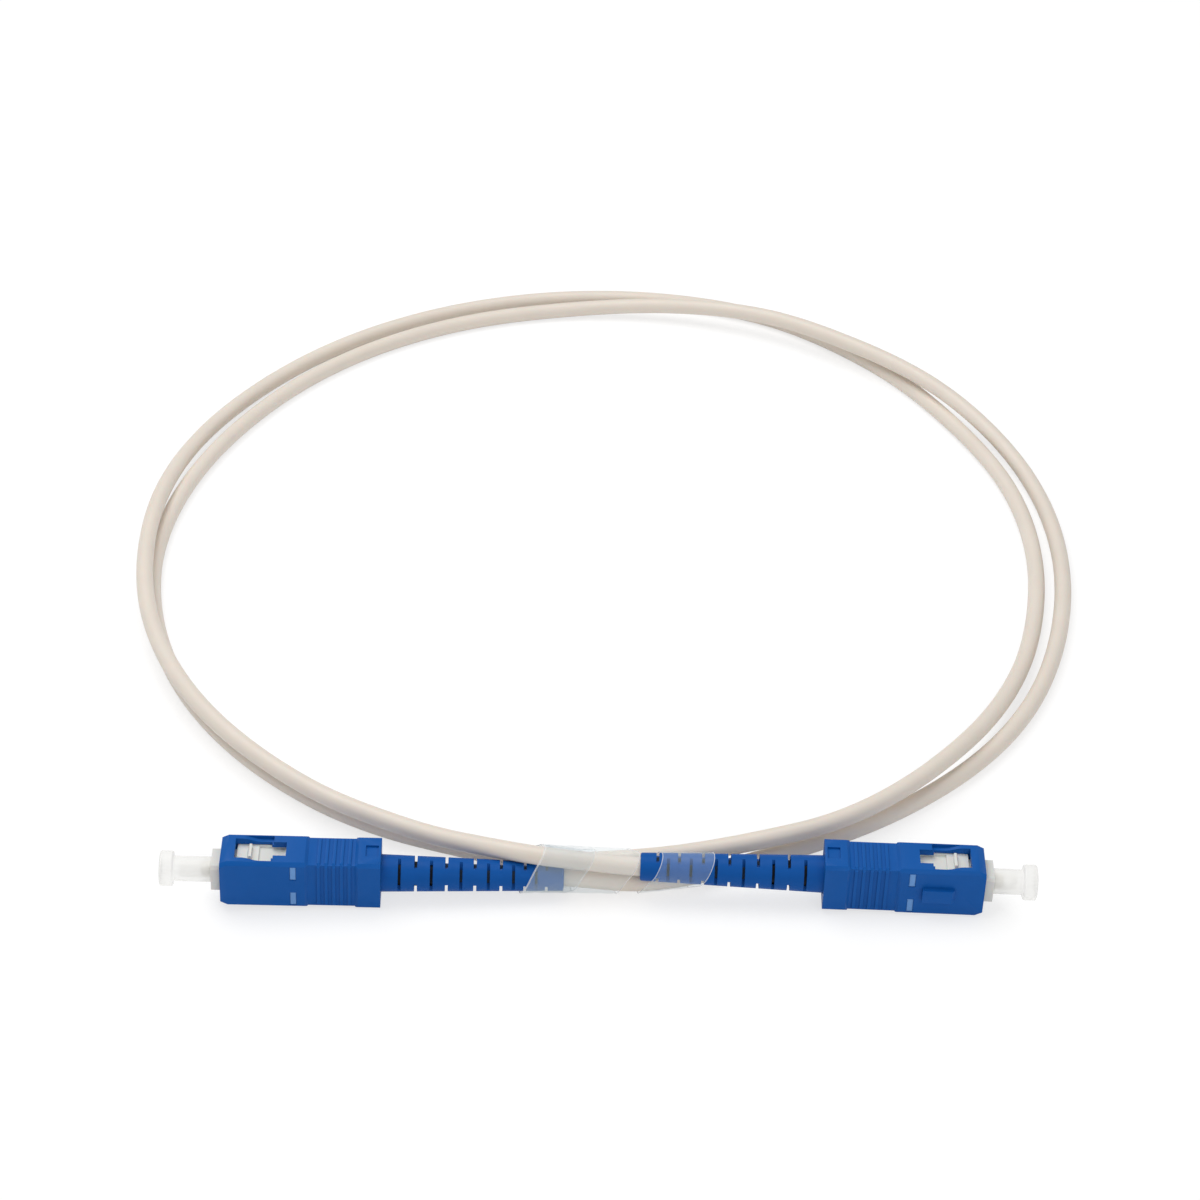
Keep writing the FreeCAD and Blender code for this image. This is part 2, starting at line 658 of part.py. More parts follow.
def boot(label, roll):
    """Strain relief: a tapered tube cut by slots that turn a quarter each time."""
    body = new_body(label + "_tube")
    sides = int(size("boot_sides"))
    front = "$frame_rear - $collar_length - $layer_clearance"
    head_bore = ("$barrel_radius + 2 * $layer_clearance + $yarn_thickness + $crimp_wall"
                 " + $boot_bore_clearance / 2")
    tail_bore = "$cable_radius + $boot_bore_clearance"
    sections = []
    for place, radius in ((front, "$boot_head_radius - $boot_edge"),
                          (front + " - $boot_edge", "$boot_head_radius"),
                          ("0", "$boot_head_radius"),
                          ("$boot_tail + $boot_edge", "$boot_tail_radius"),
                          ("$boot_tail", "$boot_tail_radius - $boot_edge")):
        sections.append(outline(body, "%s_section_%d" % (label, len(sections)), "YZ_Plane",
                                [polygon(radius, sides)], place))
    loft = body.newObject("PartDesign::AdditiveLoft", label + "_loft")
    loft.Profile = sections[0]
    loft.Sections = sections[1:]
    loft.Ruled = True
    pocket(body, outline(body, label + "_tail_bore", "YZ_Plane",
                         [polygon(tail_bore, sides, around=True)], "$boot_tail"),
           "-$boot_tail + " + front)
    pocket(body, outline(body, label + "_head_bore", "YZ_Plane",
                         [polygon(head_bore, sides, around=True)], "$boot_head_bore_end"),
           "-$boot_head_bore_end + " + front)
    cutters = []
    for i in range(int(size("slot_count"))):
        turn = roll + 90.0 * (i % 2)
        rear = ("-($slot_first + %d * $slot_pitch - %g * $slot_pitch_step + $slot_width / 2)"
                % (i, i * (i - 1) / 2.0))
        for side in (0.0, 180.0):
            cutter = doc.addObject("Part::Box", "%s_slot_%d_%d" % (label, i, side))
            cutter.setExpression("Length", bound("$slot_width"))
            cutter.setExpression("Width", bound("2 * $boot_head_radius"))
            cutter.setExpression("Height", bound("$boot_head_radius"))
            angle = turn + side
            rotation = Rotation(Vector(1, 0, 0), angle)
            cutter.Placement = Placement(Vector(), rotation)
            cutter.setExpression("Placement.Base.x", bound(rear))
            cutter.setExpression("Placement.Base.y", bound(
                "-%.9f * $slot_web_half - %.9f * $boot_head_radius"
                % (math.sin(math.radians(angle)), math.cos(math.radians(angle)))))
            cutter.setExpression("Placement.Base.z", bound(
                "%.9f * $slot_web_half - %.9f * $boot_head_radius"
                % (math.cos(math.radians(angle)), math.sin(math.radians(angle)))))
            cutters.append(cutter)
    slots = doc.addObject("Part::MultiFuse", label + "_slots")
    slots.Shapes = cutters
    cut = doc.addObject("Part::Cut", label)
    cut.Base = body
    cut.Tool = slots
    return cut


def dust_cap(label, rear):
    """Soft cap pushed over the ferrule, with a flange to pull it by."""
    body = new_body(label)
    bore = "$ferrule_radius + $cap_bore_clearance"
    bore_end = rear + " + $cap_bore_depth"
    flange = rear + " + $cap_barrel_length"
    front = flange + " + $cap_flange_length"
    turned(body, label + "_profile",
           [(rear, bore), (rear, "$cap_radius"), (flange, "$cap_radius"),
            (flange, "$cap_flange_radius - $cap_flange_edge"),
            (flange + " + $cap_flange_edge", "$cap_flange_radius"),
            (front + " - $cap_flange_edge", "$cap_flange_radius"),
            (front, "$cap_flange_radius - $cap_flange_edge"),
            (front, "0"), (bore_end, "0"), (bore_end, bore)])
    return body


def seat(side):
    """Placement of one connector, with its lowest edge on the floor."""
    turn = Rotation(size(side + "_yaw"), size(side + "_pitch"), 0.0)
    half_height = size("housing_height") / 2
    lowest = min(turn.multVec(Vector(x, 0, -half_height)).z
                 for x in (0.0, size("housing_length") - size("nose_chamfer_length")))
    return Placement(Vector(size(side + "_x"), size(side + "_y"), -lowest), turn)


def ease(value, start, end):
    """Smooth step from 0 at one named angle to 1 at another."""
    share = min(1.0, max(0.0, (value - size(start)) / (size(end) - size(start))))
    return share * share * (3 - 2 * share)


def ring_point(lap, angle):
    """Point of one lap of the ring; angle is counted from the front, anticlockwise.

    The laps run side by side, swap sides where lap one climbs over lap two at the back
    right, and lie stacked, lap two on top, from the left side round to the front.
    """
    spread, stacked = size("ring_spread"), size("ring_stack_spread")
    apart = (-spread * ease(angle, "swap_front_start", "swap_front_end")
             + 2 * spread * ease(angle, "swap_back_start", "swap_back_end")
             - (spread - stacked) * ease(angle, "stack_start", "stack_end"))
    polar = math.radians(angle - 90)
    radius = size("ring_mean_radius") - size("ring_oval") * math.cos(2 * polar)
    if lap == 1:
        radius -= apart / 2
        lift = (ease(angle, "swap_back_start", "first_climb_end")
                - ease(angle, "first_descent_start", "swap_back_end"))
    else:
        radius += apart / 2
        lift = (1 - ease(angle, "second_descent_start", "second_descent_end")
                + ease(angle, "stack_start", "second_climb_end"))
    return Vector(size("ring_x") + radius * math.cos(polar),
                  size("ring_y") + radius * math.sin(polar),
                  size("cable_radius") + size("ring_climb") * lift)


def ring_lap(lap, start):
    """Evenly spaced points of one lap."""
    span = size("lap_end") - start
    steps = max(1, round(span / size("ring_step")))
    return [ring_point(lap, start + span * i / steps) for i in range(steps + 1)]


def runs(left, right):
    """The cable's points between its two stripped ends, as three runs and two laps."""
    straight = Vector(size("boot_tail") - 2 * size("cable_radius"), 0, 0)
    front = [left.multVec(straight)] + [Vector(*p) for p in FRONT_RUN]
    middle = [Vector(*p) for p in MIDDLE_RUN]
    back = [Vector(*p) for p in BACK_RUN] + [right.multVec(straight)]
    return front, ring_lap(1, size("lap_one_start")), middle, \
        ring_lap(2, size("lap_two_start")), back


def tangents(points, first, last):
    """Direction at each point, that of the circle through it and its two neighbours.

    Where the cable lies on the floor its direction is level.
    """
    result = [first]
    for before, here, after in zip(points, points[1:], points[2:]):
        one, two = here - before, after - here
        blend = one * (two.Length / one.Length) + two * (one.Length / two.Length)
        if here.z < size("cable_radius") + size("floor_margin"):
            blend.z = 0
        result.append(blend.normalize())
    return result + [last]


def cable_path(left, right):
    """Edges of the cable's centreline, and the three strands that pass the front as points.

    The cable is straight in the boots and runs on biarcs between them.
    """
    stretches = runs(left, right)
    points = [p for stretch in stretches for p in stretch]
    out_of_left = left.Rotation.multVec(Vector(-1, 0, 0))
    into_right = right.Rotation.multVec(Vector(1, 0, 0))
    ways = tangents(points, out_of_left, into_right)
    stripped = Vector(size("barrel_rear") - size("cable_end_gap"), 0, 0)
    edges = [Part.LineSegment(left.multVec(stripped), points[0]).toShape()]
    for i in range(len(points) - 1):
        edges += biarc(points[i], ways[i], points[i + 1], ways[i + 1])
    edges.append(Part.LineSegment(points[-1], right.multVec(stripped)).toShape())
    strands = []
    passed = 0
    for i, stretch in enumerate(stretches):
        first, last = max(0, 2 * passed - 1), 2 * (passed + len(stretch)) + 1
        if i % 2 == 0:
            strand = Part.Wire(edges[first:last])
            strands.append(strand.discretize(Distance=size("cable_radius") / 3))
        passed += len(stretch)
    return edges, strands


def bend_stations(edges):
    """Points and directions along tangent lines and arcs, the closer the more an arc bends."""
    stations = []
    for edge in edges:
        first, last = edge.FirstParameter, edge.LastParameter
        bend = math.degrees(edge.tangentAt(first).getAngle(edge.tangentAt(last)))
        steps = max(1, math.ceil(bend / size("cable_bend_step")))
        places = [first + (last - first) * i / steps for i in range(steps)]
        if edge is edges[-1]:
            places.append(last)
        stations += [(edge.valueAt(place), edge.tangentAt(place)) for place in places]
    return stations


def bore_tool(placement):
    """Cylinder that clears the buffered fibre inside one end of the cable."""
    radius = size("fibre_radius") + size("fibre_clearance")
    start = size("barrel_rear") - size("cable_end_gap")
    depth = size("cable_bore_depth")
    tool = Part.makeCylinder(radius, depth + size("cable_end_gap"), Vector(start - depth, 0, 0),
                             Vector(1, 0, 0))
    tool.Placement = placement
    return tool


def cable(label, left, right):
    """The whole jacketed cable as one unbroken tube, bored at its stripped ends."""
    edges, strands = cable_path(left, right)
    wire = Part.Wire(edges)
    radius, sides = size("cable_radius"), int(size("cable_sides"))
    jacket = tube(bend_stations(edges), Vector(0, 0, 1), radius, sides)
    ideal = sides / 2 * math.sin(2 * math.pi / sides) * radius ** 2 * wire.Length
    radii = [edge.Curve.Radius for edge in edges if hasattr(edge.Curve, "Radius")]
    print("cable length %.1f mm, volume ratio %.4f" % (wire.Length, jacket.Volume / ideal))
    print("cable smallest bend radius %.1f mm" % min(radii))
    print("cable least gap to itself %.2f mm" % least_gap(wire, radius))
    feature = doc.addObject("Part::Feature", label)
    feature.Shape = jacket.cut([bore_tool(left), bore_tool(right)])
    return feature, strands


def on_run(points, x):
    """Point of a run at one X, between its two nearest points."""
    for one, two in zip(points, points[1:]):
        if min(one.x, two.x) <= x <= max(one.x, two.x):
            return one + (two - one) * ((x - one.x) / (two.x - one.x))
    raise ValueError("no point of the run at x = %.2f" % x)


def boot_radius(along):
    """Outer radius of a boot at a distance from its tail, or of the cable past it."""
    growth = (size("boot_head_radius") - size("boot_tail_radius")) / -size("boot_tail")
    if along < 0:
        growth = (size("boot_tail_radius") - size("cable_radius")) / size("tape_taper")
    return max(size("cable_radius"), size("boot_tail_radius") + growth * along)


def hull(circles, x, grow):
    """Corners of a polygon round circles (centre and radius) at x, grown by a margin."""
    spots = [(Vector(x, c.y, c.z), r + grow) for c, r in circles]
    headings = []
    for i, (one, r_one) in enumerate(spots):
        two, r_two = spots[(i + 1) % len(spots)]
        across = two - one
        lean = math.asin((r_one - r_two) / across.Length)
        headings.append(math.atan2(across.z, across.y) - math.pi / 2 + lean)
    bends = int(size("tape_bends"))
    corners = []
    for i, (centre, radius) in enumerate(spots):
        turn = (headings[i] - headings[i - 1]) % (2 * math.pi) / bends
        reach = radius / math.cos(turn / 2)
        for k in range(bends):
            heading = headings[i - 1] + turn * (k + 0.5)
            corners.append(centre + Vector(0, math.cos(heading), math.sin(heading)) * reach)
    return corners


def tape_wrap(label, start, end, strands, left, right):
    """Clear tape wound round a boot tail and the strands beside it, with leaning ends.

    The right run holds only its boot and the strand under it.
    """
    front, middle, back = strands
    tail_left = left.multVec(Vector(size("boot_tail"), 0, 0)).x
    tail_right = right.multVec(Vector(size("boot_tail"), 0, 0)).x
    lean = size("tape_lean")
    steps = int(size("tape_stations")) - 1
    layers = []
    for grow in (size("tape_clearance"), size("tape_clearance") + size("tape_thickness")):
        sections = []
        for i in range(steps + 1):
            x = start - lean / 2 + (end - start + lean) * i / steps
            circles = [(on_run(front, x), boot_radius(tail_left - x)),
                       (on_run(back, x), boot_radius(x - tail_right))]
            if start < 0:
                circles.insert(1, (on_run(middle, x), size("cable_radius")))
            sections.append(hull(circles, x, grow))
        layers.append(skin(sections))
    sleeve = layers[1].cut(layers[0])
    height = 2 * size("housing_height")
    slab = [Vector(start - lean / 2, -height, 0), Vector(start + lean / 2, -height, height / 2),
            Vector(end + lean / 2, -height, height / 2), Vector(end - lean / 2, -height, 0)]
    face = Part.Face(Part.makePolygon(slab + slab[:1]))
    feature = doc.addObject("Part::Feature", label)
    feature.Shape = sleeve.common(face.extrude(Vector(0, 2 * height, 0)))
    return feature


connectors = {side: seat(side) for side in ("left", "right")}
nodes = []
for side, placement in connectors.items():
    pieces = [outer_housing("outer_housing_" + side), plug_frame("plug_frame_" + side),
              ferrule("ferrule_" + side), ferrule_flange("ferrule_flange_" + side),
              ferrule_spring("ferrule_spring_" + side), stop_ring("stop_ring_" + side),
              crimp_sleeve("crimp_sleeve_" + side), aramid_yarn("aramid_yarn_" + side),
              buffered_fibre("buffered_fibre_" + side),
              boot("boot_" + side, size(side + "_boot_roll")),
              dust_cap("dust_cap_" + side, "$cap_%s_rear" % side)]
    for piece in pieces:
        piece.Placement = placement.multiply(piece.Placement)
    nodes += pieces
cord, front_strands = cable("cable", connectors["left"], connectors["right"])
nodes.append(cord)
for part_name, first, last in (("tape_wrap_left", "tape_left_start", "tape_left_end"),
                               ("tape_wrap_right", "tape_right_start", "tape_right_end")):
    nodes.append(tape_wrap(part_name, size(first), size(last), front_strands,
                           connectors["left"], connectors["right"]))

doc.recompute()
for item in doc.Objects:
    if "Invalid" in item.State or "Error" in item.State:
        raise RuntimeError("object failed: " + item.Label)
for node in nodes:
    if node.Shape.isNull() or not node.Shape.isValid():
        raise RuntimeError("bad shape: " + node.Label)
os.makedirs("parts", exist_ok=True)
for node in nodes:
    node.Shape.exportStep("parts/%s.step" % node.Label)
    box = node.Shape.BoundBox
    print("%-24s solids %d volume %9.2f  x %.2f..%.2f y %.2f..%.2f z %.2f..%.2f"
          % (node.Label, len(node.Shape.Solids), node.Shape.Volume, box.XMin, box.XMax,
             box.YMin, box.YMax, box.ZMin, box.ZMax))
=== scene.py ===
"""Looks of a simplex fibre optic patch cord: white cable in a ring, blue plugs back to back.

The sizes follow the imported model, which is loaded first. A plug is drawn along its own X axis,
zero at the housing's rear face, and is then laid where its mounts say that it lies. Drawings
are in millimetres, meshes and the user's sizes in metres.
"""
import json
import math

import bmesh
import bpy
import numpy as np
from bpy.props import FloatProperty, FloatVectorProperty, IntProperty, PointerProperty
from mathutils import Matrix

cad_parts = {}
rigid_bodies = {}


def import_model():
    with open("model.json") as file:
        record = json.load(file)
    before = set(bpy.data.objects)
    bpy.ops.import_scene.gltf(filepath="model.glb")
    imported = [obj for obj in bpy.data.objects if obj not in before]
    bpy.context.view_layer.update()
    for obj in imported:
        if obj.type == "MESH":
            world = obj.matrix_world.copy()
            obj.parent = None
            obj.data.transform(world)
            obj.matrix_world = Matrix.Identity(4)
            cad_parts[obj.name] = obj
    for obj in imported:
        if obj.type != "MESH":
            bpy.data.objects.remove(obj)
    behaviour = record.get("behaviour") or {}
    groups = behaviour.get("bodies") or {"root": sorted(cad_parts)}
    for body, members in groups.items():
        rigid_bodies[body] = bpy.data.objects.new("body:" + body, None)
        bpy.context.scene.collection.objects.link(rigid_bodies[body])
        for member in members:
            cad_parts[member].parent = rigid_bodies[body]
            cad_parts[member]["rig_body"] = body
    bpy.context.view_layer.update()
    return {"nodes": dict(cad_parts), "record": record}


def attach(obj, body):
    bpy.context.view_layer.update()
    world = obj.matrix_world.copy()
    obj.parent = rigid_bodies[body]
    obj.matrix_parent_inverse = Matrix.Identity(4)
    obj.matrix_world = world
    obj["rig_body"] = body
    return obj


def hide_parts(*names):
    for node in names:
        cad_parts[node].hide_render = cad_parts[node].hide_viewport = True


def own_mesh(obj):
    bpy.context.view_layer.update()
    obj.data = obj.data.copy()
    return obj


bl_info = {
    "name": "Fibre Patch Cord",
    "version": (1, 0, 0),
    "blender": (4, 5, 0),
    "location": "View3D > Sidebar > Patch Cord",
    "description": "Builds a coiled fibre optic patch cord with its two plugs",
    "category": "Object",
}

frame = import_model()
MM = 0.001
SIDES = ("left", "right")
HOUSING_LENGTH = 25.0 * MM

# Points nearer than this are one
SAME_PLACE = 0.0001 * MM

# Points of the cable on a plug's axis: its end in the crimp, in the boot's tail and past it
ENTRY = [(-4.4, 0, 0), (-25.0, 0, 0), (-30.9, 0, 0)]

# Points of the cable between the boots, given one by one: X, Y, Z
FRONT_RUN = [(4.5, 1.25, 2.05), (13.0, 2.8, 1.85), (22.5, 6.2, 1.6)]
MIDDLE_RUN = [(-34.5, 14.8, 1.5), (-25.0, 11.2, 1.5), (-15.5, 7.9, 1.7), (-6.5, 5.6, 2.6),
              (2.0, 4.9, 3.7), (10.5, 5.6, 4.0), (18.5, 7.3, 4.1)]
BACK_RUN = [(-35.5, 13.3, 5.2), (-26.5, 8.2, 5.8), (-17.5, 4.3, 6.85), (-9.6, 1.5, 7.45),
            (-3.0, 1.2, 6.8)]


def linear(code):
    """Linear red, green and blue of an sRGB hex colour."""
    values = np.array([int(code[i:i + 2], 16) for i in (1, 3, 5)]) / 255
    return tuple(np.where(values <= 0.04045, values / 12.92, ((values + 0.055) / 1.055) ** 2.4))


def length_mm(name, description, millimetres):
    """A length that the user can change, given in millimetres and kept in metres."""
    return FloatProperty(name=name, description=description, default=millimetres * MM, min=0.0,
                         unit="LENGTH", precision=5)


def angle_degrees(name, description, degrees):
    """An angle that the user can change, given in degrees and kept in radians."""
    return FloatProperty(name=name, description=description, default=math.radians(degrees),
                         subtype="ANGLE")


def colour_hex(name, description, code):
    """A colour that the user can change, given in sRGB and kept linear."""
    return FloatVectorProperty(name=name, description=description, subtype="COLOR",
                               default=linear(code), min=0.0, max=1.0)


class PatchCordSizes(bpy.types.PropertyGroup):
    """Sizes of the cord and its plugs"""
    cable_diameter: length_mm("Cable Diameter", "Outer diameter of the jacket", 3.0)
    ring_x: length_mm("Ring X", "Middle of the ring, left of the origin", 0.7)
    ring_y: length_mm("Ring Y", "Middle of the ring, behind the origin", 93.7)
    ring_radius: length_mm("Ring Radius", "Mean radius of a lap's centreline", 85.2)
    ring_oval: length_mm("Ring Oval", "How much the ring is deeper than wide", 3.9)
    ring_spread: length_mm("Lap Spread", "Distance between two laps side by side", 5.0)
    stack_spread: length_mm("Stack Spread", "Distance in plan of two stacked laps", 1.1)
    ring_climb: length_mm("Lap Climb", "Height of a strand that crosses another", 3.68)
    lap_step: angle_degrees("Lap Step", "Angle between a lap's points", 6)
    boot_head_radius: length_mm("Boot Head Radius", "Radius at the housing", 2.95)
    boot_tail_radius: length_mm("Boot Tail Radius", "Radius at the tail", 2.2)
    boot_front: length_mm("Boot Front", "Front face inside the housing", 3.95)
    boot_length: length_mm("Boot Length", "From the housing's rear face to the tail", 28.7)
    boot_head_bore: length_mm("Boot Head Bore", "Bore radius over the crimp sleeve", 2.09)
    boot_tail_bore: length_mm("Boot Tail Bore", "Bore radius over the cable", 1.62)
    boot_bore_step: length_mm("Boot Bore Step", "Where the bore narrows", 9.4)
    left_boot_roll: angle_degrees("Left Boot Roll", "Turn of the left boot's webs", 120)
    right_boot_roll: angle_degrees("Right Boot Roll", "Turn of the right boot's webs", 66)
    slot_count: IntProperty(name="Slot Count", description="Pairs of slots in a boot",
                            default=12, min=2)
    slot_first: length_mm("First Slot", "Middle of the first pair", 2.9)
    slot_pitch: length_mm("Slot Pitch", "Distance from the first pair to the next", 2.55)
    slot_shrink: length_mm("Slot Shrink", "How much each distance is shorter", 0.09)
    slot_width: length_mm("Slot Width", "Gap of a slot along the boot", 0.46)
    web_half: length_mm("Web Half Width", "Half the web between two slots", 1.3)
    edge_round: length_mm("Edge Round", "Rounding of the moulded edges", 0.12)
    left_cap_rear: length_mm("Left Cap Rear", "Rear end of the left cap", 25.3)
    right_cap_rear: length_mm("Right Cap Rear", "Rear end of the right cap", 24.1)
    cap_barrel: length_mm("Cap Barrel", "Length of a cap behind its rim", 7.2)
    cap_rim: length_mm("Cap Rim", "Length of a cap's rim", 2.1)
    cap_bore_depth: length_mm("Cap Bore Depth", "Depth of the bore over the ferrule", 6.1)
    cap_radius: length_mm("Cap Radius", "Radius of the dust cap's barrel", 2.0)
    cap_flange_radius: length_mm("Cap Flange Radius", "Radius of the cap's rim", 2.8)
    cap_bore: length_mm("Cap Bore", "Radius of the bore over the ferrule", 1.3)
    tape_gap: length_mm("Tape Gap", "Distance from the film to what it holds", 0.12)
    tape_thickness: length_mm("Film Thickness", "Thickness of the film", 0.1)
    tape_lean: length_mm("Tape Lean", "How far an edge leans over a plug's height", 4.6)
    tape_wrinkle: length_mm("Film Wrinkle", "Height of the wrinkles in the film", 0.04)


class PatchCordColours(bpy.types.PropertyGroup):
    """Colours of the cord and its plugs"""
    jacket: colour_hex("Jacket", "White cable jacket", "#e5dbcf")
    housing: colour_hex("Housing", "Blue moulded grip", "#0a57a6")
    boot: colour_hex("Boot", "Blue soft boot", "#0352a1")
    # Painted shade: a dark sleeve under the boot's slots, so that they look dark inside as their
    # shade makes them.
    liner: colour_hex("Boot Liner", "Dark sleeve under the boot's slots", "#22364a")
    mark: colour_hex("Mark", "Pale alignment marks", "#689ad6")
    plug_body: colour_hex("Plug Frame", "White inner frame", "#dfdfda")
    cap: colour_hex("Dust Cap", "Translucent cap", "#fbfaf6")
    ceramic: colour_hex("Ceramic", "White ferrule", "#cfccc3")
    nickel: colour_hex("Nickel", "Plated metal", "#b9b5ab")
    # Partly painted shade: the crimp sleeve's dull metal is darkened so that the slots near the
    # boot's head look dark inside.
    crimp: colour_hex("Crimp", "Dulled crimp sleeve", "#26292e")
    yarn: colour_hex("Yarn", "Aramid yarn", "#c9a84a")
    film: colour_hex("Tape", "Haze of the clear tape", "#e0f3fb")
    film_edge: colour_hex("Tape Edge", "Light line of the tape's cut edge", "#f4f6f6")


def add_node(material, kind, inputs=None, **settings):
    """One shader node: inputs are its sockets' values or feeders, settings its properties."""
    tree = material.node_tree
    node = tree.nodes.new(kind)
    for key, value in settings.items():
        setattr(node, key, value)
    for key, value in (inputs or {}).items():
        if isinstance(value, bpy.types.NodeSocket):
            tree.links.new(value, node.inputs[key])
        else:
            node.inputs[key].default_value = value
    return node


def new_material(name):
    """An empty node material and its output."""
    material = bpy.data.materials.new(name)
    material.use_nodes = True
    material.node_tree.nodes.clear()
    return material, material.node_tree.nodes.new("ShaderNodeOutputMaterial")


def per_mm(millimetres):
    """Scale of a texture in Object coordinates whose features are that large."""
    return 1 / (millimetres * MM)


def mottled(material, colour, place, size_mm, depth):
    """Colour that drifts by a share depth over patches of a size."""
    noise = add_node(material, "ShaderNodeTexNoise",
                     {"Vector": place, "Scale": per_mm(size_mm), "Detail": 3.0})
    darker = tuple(c * (1 - depth) for c in colour) + (1.0,)
    lighter = tuple(min(1.0, c * (1 + depth)) for c in colour) + (1.0,)
    blend = add_node(material, "ShaderNodeMix",
                     {"Factor": noise.outputs["Fac"], "A": darker, "B": lighter},
                     data_type="RGBA")
    return blend.outputs["Result"]


def grain(material, place, size_mm, height_mm):
    """Normal of a fine surface grain of that size and height."""
    noise = add_node(material, "ShaderNodeTexNoise",
                     {"Vector": place, "Scale": per_mm(size_mm), "Detail": 2.0})
    bump = add_node(material, "ShaderNodeBump",
                    {"Height": noise.outputs["Fac"], "Strength": 1.0,
                     "Distance": height_mm * MM})
    return bump.outputs["Normal"]


def varied_roughness(material, place, size_mm, low, high):
    """Roughness that drifts between two values over patches of a size."""
    noise = add_node(material, "ShaderNodeTexNoise",
                     {"Vector": place, "Scale": per_mm(size_mm), "Detail": 2.0})
    spread = add_node(material, "ShaderNodeMapRange",
                      {"Value": noise.outputs["Fac"], "From Min": 0.3, "From Max": 0.7,
                       "To Min": low, "To Max": high})
    return spread.outputs["Result"]


def plastic(name, colour, roughness, drift, grit, sheen_patch=1.2, **more):
    """Moulded, extruded, ground or plated surface: an uneven colour under a fine grain.

    Roughness is a range that it goes through over patches as wide as sheen_patch. Drift is the
    width and depth of the colour's patches, and grit the width and height of the grain.
    """
    material, output = new_material(name)
    place = add_node(material, "ShaderNodeTexCoord").outputs["Object"]
    inputs = {"Base Color": mottled(material, colour, place, *drift),
              "Roughness": varied_roughness(material, place, sheen_patch, *roughness),
              "Normal": grain(material, place, *grit), "IOR": 1.5}
    inputs.update(more)
    shader = add_node(material, "ShaderNodeBsdfPrincipled", inputs)
    material.node_tree.links.new(shader.outputs["BSDF"], output.inputs["Surface"])
    return material


def hazy(name, colour, share, roughness, grit):
    """A clear plastic whose haze covers a share of what is behind it.

    The share goes from its first value, where the surface faces the eye, to its second at a
    grazing angle. Shadow and diffuse rays go through it, because haze only spreads light.
    """
    material = plastic(name, colour, roughness, drift=(1.5, 0.03), grit=grit, sheen_patch=1.5)
    facing = add_node(material, "ShaderNodeLayerWeight", {"Blend": 0.25})
    haze = add_node(material, "ShaderNodeMapRange",
                    {"Value": facing.outputs["Facing"], "To Min": share[0], "To Max": share[1]})
    ray = add_node(material, "ShaderNodeLightPath")
    passing = add_node(material, "ShaderNodeMath",
                       {0: ray.outputs["Is Shadow Ray"], 1: ray.outputs["Is Diffuse Ray"]},
                       operation="MAXIMUM")
    seen = add_node(material, "ShaderNodeMath",
                    {0: haze.outputs["Result"], 1: passing.outputs[0]},
                    operation="SUBTRACT", use_clamp=True)
    shader = material.node_tree.nodes["Principled BSDF"]
    material.node_tree.links.new(seen.outputs[0], shader.inputs["Alpha"])
    return material


def chosen(name):
    """A colour of the user's panel."""
    return tuple(getattr(bpy.context.scene.patch_cord_colours, name))


def moulded_abs_blue():
    """ABS from a finely blasted mould: deep blue with a low satin sheen and faint flow patches."""
    return plastic("moulded_abs_blue", chosen("housing"), roughness=(0.36, 0.5),
                   drift=(4.0, 0.06), grit=(0.3, 0.006), **{"Specular IOR Level": 0.15})


def soft_pvc_blue():
    """Soft PVC: the same blue, duller, with a skin that spreads its highlights."""
    return plastic("soft_pvc_blue", chosen("boot"), roughness=(0.42, 0.55),
                   drift=(3.0, 0.08), grit=(0.45, 0.01), **{"Specular IOR Level": 0.14})


def shrunk_polyolefin():
    """Painted shade under the boot's slots: a dull, nearly black slate blue sleeve that makes them
    look dark inside.
    """
    return plastic("shrunk_polyolefin", chosen("liner"), roughness=(0.5, 0.65),
                   drift=(1.5, 0.1), grit=(0.4, 0.01), **{"Specular IOR Level": 0.3})


def printed_pale_blue():
    """Pale ink that fills a shallow recess: flat, dull, a little thinner in places."""
    return plastic("printed_pale_blue", chosen("mark"), roughness=(0.5, 0.65),
                   drift=(0.7, 0.08), grit=(0.25, 0.006))


def moulded_pbt_white():
    """PBT: off-white, a little waxy."""
    return plastic("moulded_pbt_white", chosen("plug_body"), roughness=(0.35, 0.45),
                   drift=(3.0, 0.03), grit=(0.4, 0.005),
                   **{"Subsurface Weight": 0.15, "Subsurface Scale": 0.8 * MM})


def extruded_jacket_white():
    """Extruded jacket: cream white with a soft sheen, faint waves and dust-fine pits."""
    return plastic("extruded_jacket_white", chosen("jacket"), roughness=(0.4, 0.55),
                   drift=(7.0, 0.04), grit=(0.5, 0.012),
                   **{"Subsurface Weight": 0.1, "Subsurface Scale": 1.0 * MM})


def ground_ceramic():
    """Ground zirconia: dense white with a tight highlight."""
    return plastic("ground_ceramic", chosen("ceramic"), roughness=(0.12, 0.2),
                   drift=(1.5, 0.02), grit=(0.2, 0.001), IOR=2.1)


def plated_metal():
    """Nickel plate over brass: a fine turned surface."""
    return plastic("plated_metal", chosen("nickel"), roughness=(0.25, 0.4),
                   drift=(0.6, 0.08), grit=(0.15, 0.003), Metallic=1.0)


def crimped_brass():
    """Crimped sleeve: the plate is dulled by the die, and its colour is darkened as painted shade,
    so that the boot's slots near the head look dark inside.
    """
    return plastic("crimped_brass", chosen("crimp"), roughness=(0.45, 0.6),
                   drift=(0.5, 0.15), grit=(0.25, 0.02), Metallic=1.0)


def aramid_fibre():
    """Aramid yarn: straw yellow filaments along the barrel."""
    return plastic("aramid_fibre", chosen("yarn"), roughness=(0.6, 0.75),
                   drift=(0.3, 0.2), grit=(0.15, 0.03))


def translucent_ldpe():
    """Soft polyethylene: so clear that the floor and the greyer ferrule show through it."""
    return hazy("translucent_ldpe", chosen("cap"), share=(0.4, 0.62), roughness=(0.3, 0.4),
                grit=(1.2, 0.002))


